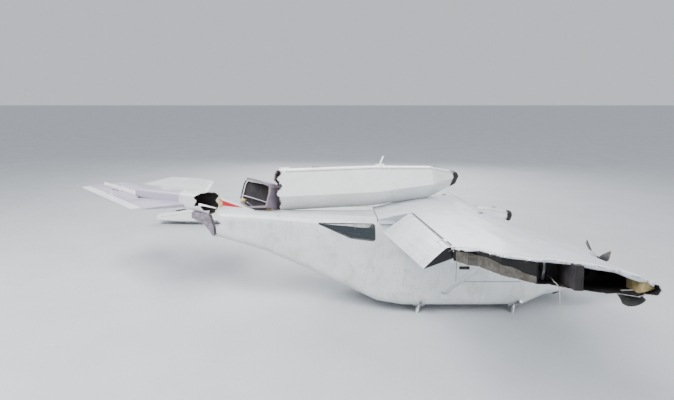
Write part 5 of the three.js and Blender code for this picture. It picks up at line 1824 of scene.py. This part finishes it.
# Engine bay and propeller: finned cylinders, intake mesh, quarter-turn fasteners, hub bolts, blade fibres
engine = {
    "cylinders": [(760, -1), (900, -1), (760, 1), (900, 1)],
    "barrel": 46, "fin": 60, "height": 78, "level": 400,
    "intake": {"y": 118, "half": 24, "z": (335, 495), "x": 1322},
    "hub": {"bolts": 6, "circle": 44},
}


def makeEngine():
    cylinders, covers = [], []
    barrel, fin, height = engine["barrel"], engine["fin"], engine["height"]
    for x, side in engine["cylinders"]:
        place = airframe @ placed((x * mm, side * 0.2302, engine["level"] * mm), (-90 * side, 0, 0))
        profile = [(0, 0), (barrel, 0)]
        for z in range(6, height - 6, 8):
            profile += [(barrel, z), (fin, z + 1), (fin, z + 3), (barrel, z + 4)]
        profile += [(barrel, height), (0, height)]
        cylinders.append(turnedParts(place, profile, 24))
        covers.append(blockParts(place, (-52, -44, height), (52, 44, height + 26), 8))
    addParts("engineCylinders", cylinders, "castAlloy")
    addParts("engineRockerCovers", covers, "castAlloy")
    values = engine["intake"]
    wires = []
    for side in (-1, 1):
        ends = side * values["y"] - values["half"], side * values["y"] + values["half"]
        for z in steps(*values["z"], 8):
            wires.append(tubeParts([inMm(airframe, values["x"], y, z) for y in ends], 0.8 * mm, 4))
        for y in steps(*ends, 8):
            wires.append(tubeParts([inMm(airframe, values["x"], y, z) for z in values["z"]], 0.8 * mm, 4))
    addParts("intakeMesh", wires, "aluminium")
    fasteners = []
    spots = [((668, side * 700, z), (0, -side, 0)) for side in (-1, 1) for _ in (1, 2)
             for z in range(160, 700, 90)]
    spots += [((x, side * 700, 402), (0, -side, 0)) for side in (-1, 1) for x in range(740, 1340, 100)]
    spots += [((668, y, 1100), (0, 0, -1)) for y in range(-300, 301, 120)]
    for point, direction in spots:
        hit = landOn("cowling", inMm(airframe, *point), airframe.to_3x3() @ Vector(direction))
        if hit:
            place = facingPlace(*hit)
            fasteners.append(turnedParts(place, [(0, 0), (9, 0), (9, 1.2), (7, 2.2), (0, 2.2)], 16))
            fasteners.append(blockParts(place, (-6, -0.8, 1.6), (6, 0.8, 2.8), 0.3))
    addParts("cowlingFasteners", fasteners, "aluminium")
    hub = placed(hubAt, (-lie["roll"], 0, 0)) @ turned((0, 90, 0))
    bolts = []
    for i in range(engine["hub"]["bolts"]):
        around = hub @ turned((0, 0, 60 * i + 30))
        start = around @ Vector((engine["hub"]["circle"] * mm, 0, -0.02))
        hit = landOn("propeller", start, directionIn(hub, 0, 0, 1), 0.2)
        if hit:
            bolts.append(turnedParts(facingPlace(*hit, (0, 0, 1)), boltHead, 6))
    for i in range(8):
        around = hub @ turned((0, 0, 45 * i + 10))
        start = around @ Vector((0.3, 0, 0.075))
        hit = landOn("spinner", start, directionIn(around, -1, 0, 0), 0.35)
        if hit:
            bolts.append(turnedParts(facingPlace(*hit), screwHead, 10))
    print(len(bolts), "hub bolts and spinner screws")
    addParts("propellerFasteners", bolts, "aluminium", "propeller")
    chance = random.Random("bladeFibres")
    toHub = placed(hubAt, (-lie["roll"], 0, 0)).inverted()
    mesh, matrix = nodes["propeller"].data, nodes["propeller"].matrix_world
    points = [toHub @ (matrix @ vertex.co) for vertex in mesh.vertices]
    fibres = []
    for third in range(3):
        mine = [p for p in points if int((math.degrees(math.atan2(p.z, p.y)) - 8) % 360 // 120) == third]
        if not mine:
            continue
        reach = max(Vector((p.y, p.z)).length for p in mine)
        tips = [p for p in mine if Vector((p.y, p.z)).length > reach - 0.07]
        back = toHub.inverted()
        for _ in range(46):
            a, b = chance.choice(tips), chance.choice(tips)
            base = a.lerp(b, chance.random())
            out = Vector((0, base.y, base.z)).normalized()
            slant = (out + Vector([chance.uniform(-most, most) for most in (0.5, 0.3, 0.3)])).normalized()
            length = chance.uniform(12, 42) * mm
            path = [back @ (base - out * 0.012), back @ (base + slant * length * 0.5),
                    back @ (base + slant * length + Vector((chance.uniform(-4, 4) * mm, 0, 0)))]
            fibres.append(tubeParts(path, [1.3 * mm, 1.0 * mm, 0.2 * mm], 4))
    addParts("bladeFibres", fibres, "rawEdge", "propeller")


makeEngine()
print("engine and propeller fittings")


# Rows of rivets on the moving surfaces, each riding on its own body
surfaces = [("flap_right", rightWing, -1, (50, 2100)), ("flap_left", leftWing, 1, (50, 2100)),
            ("aileron_left", leftWing, 1, (2210, 3520))]
for node, place, sign, span in surfaces:
    rows = []
    for y in steps(*span, wing["ribPitch"]):
        for down in ((0, 0, -1), (0, 0, 1)):
            rows += rowOn(node, place, [(x, sign * y, -60) for x in range(-1380, -1080, 40)], down)
    addRivets(f"{node}Rivets", rows, "wingPaint", node)
rudderPlace = Matrix.Translation((-2.2103, -0.1260, 1.3732)) @ finPlace.to_3x3().to_4x4()
rows = []
for down in ((0, -1, 0), (0, 1, 0)):
    for z in (90, 270, 450, 630, 810):
        rows += rowOn("rudder", rudderPlace, [(x, 0, z) for x in range(-220, -30, 38)], down)
addRivets("rudderRivets", rows, "bodyPaint", "rudder")
rows = []
for down in ((0, 0, -1), (0, 0, 1)):
    for y in range(-900, 901, 225):
        rows += rowOn("stabiliser", stabiliserPlace, [(x, y, 0) for x in range(-250, 260, 44)], down)
addRivets("stabiliserRivets", rows, "mauvePaint")
print("rivets on the moving surfaces")


# Floor and soft light
studio = {
    "floorSize": 160,
    "key": {"at": (-5.0, -3.5, 8.0), "size": 6.0, "power": 1500},
    "fill": {"at": (7.0, -6.0, 5.0), "size": 7.0, "power": 420},
    "back": {"at": (1.0, 9.0, 6.0), "size": 8.0, "power": 900},
    "sky": "e6ebf2",
    "skyStrength": 0.85,
}


def makeStudio():
    half = studio["floorSize"] / 2
    corners = [(-half, -half, 0), (half, -half, 0), (half, half, 0), (-half, half, 0)]
    mesh = bpy.data.meshes.new("studioFloor")
    mesh.from_pydata(corners, [], [(0, 1, 2, 3)])
    mesh.materials.append(finishes["vinyl"])
    floor = bpy.data.objects.new("studioFloor", mesh)
    bpy.context.scene.collection.objects.link(floor)
    middle = Vector((0, 0, 0.6))
    for name in ("key", "fill", "back"):
        values = studio[name]
        light = bpy.data.lights.new(name, "AREA")
        light.energy, light.size = values["power"], values["size"]
        lamp = bpy.data.objects.new(name, light)
        lamp.location = values["at"]
        lamp.rotation_euler = (middle - lamp.location).to_track_quat("-Z", "Y").to_euler()
        bpy.context.scene.collection.objects.link(lamp)
    world = bpy.data.worlds.new("studio")
    world.use_nodes = True
    sky = world.node_tree.nodes["Background"]
    sky.inputs["Color"].default_value = linear(studio["sky"])
    sky.inputs["Strength"].default_value = studio["skyStrength"]
    bpy.context.scene.world = world


makeStudio()
print("floor and lights")
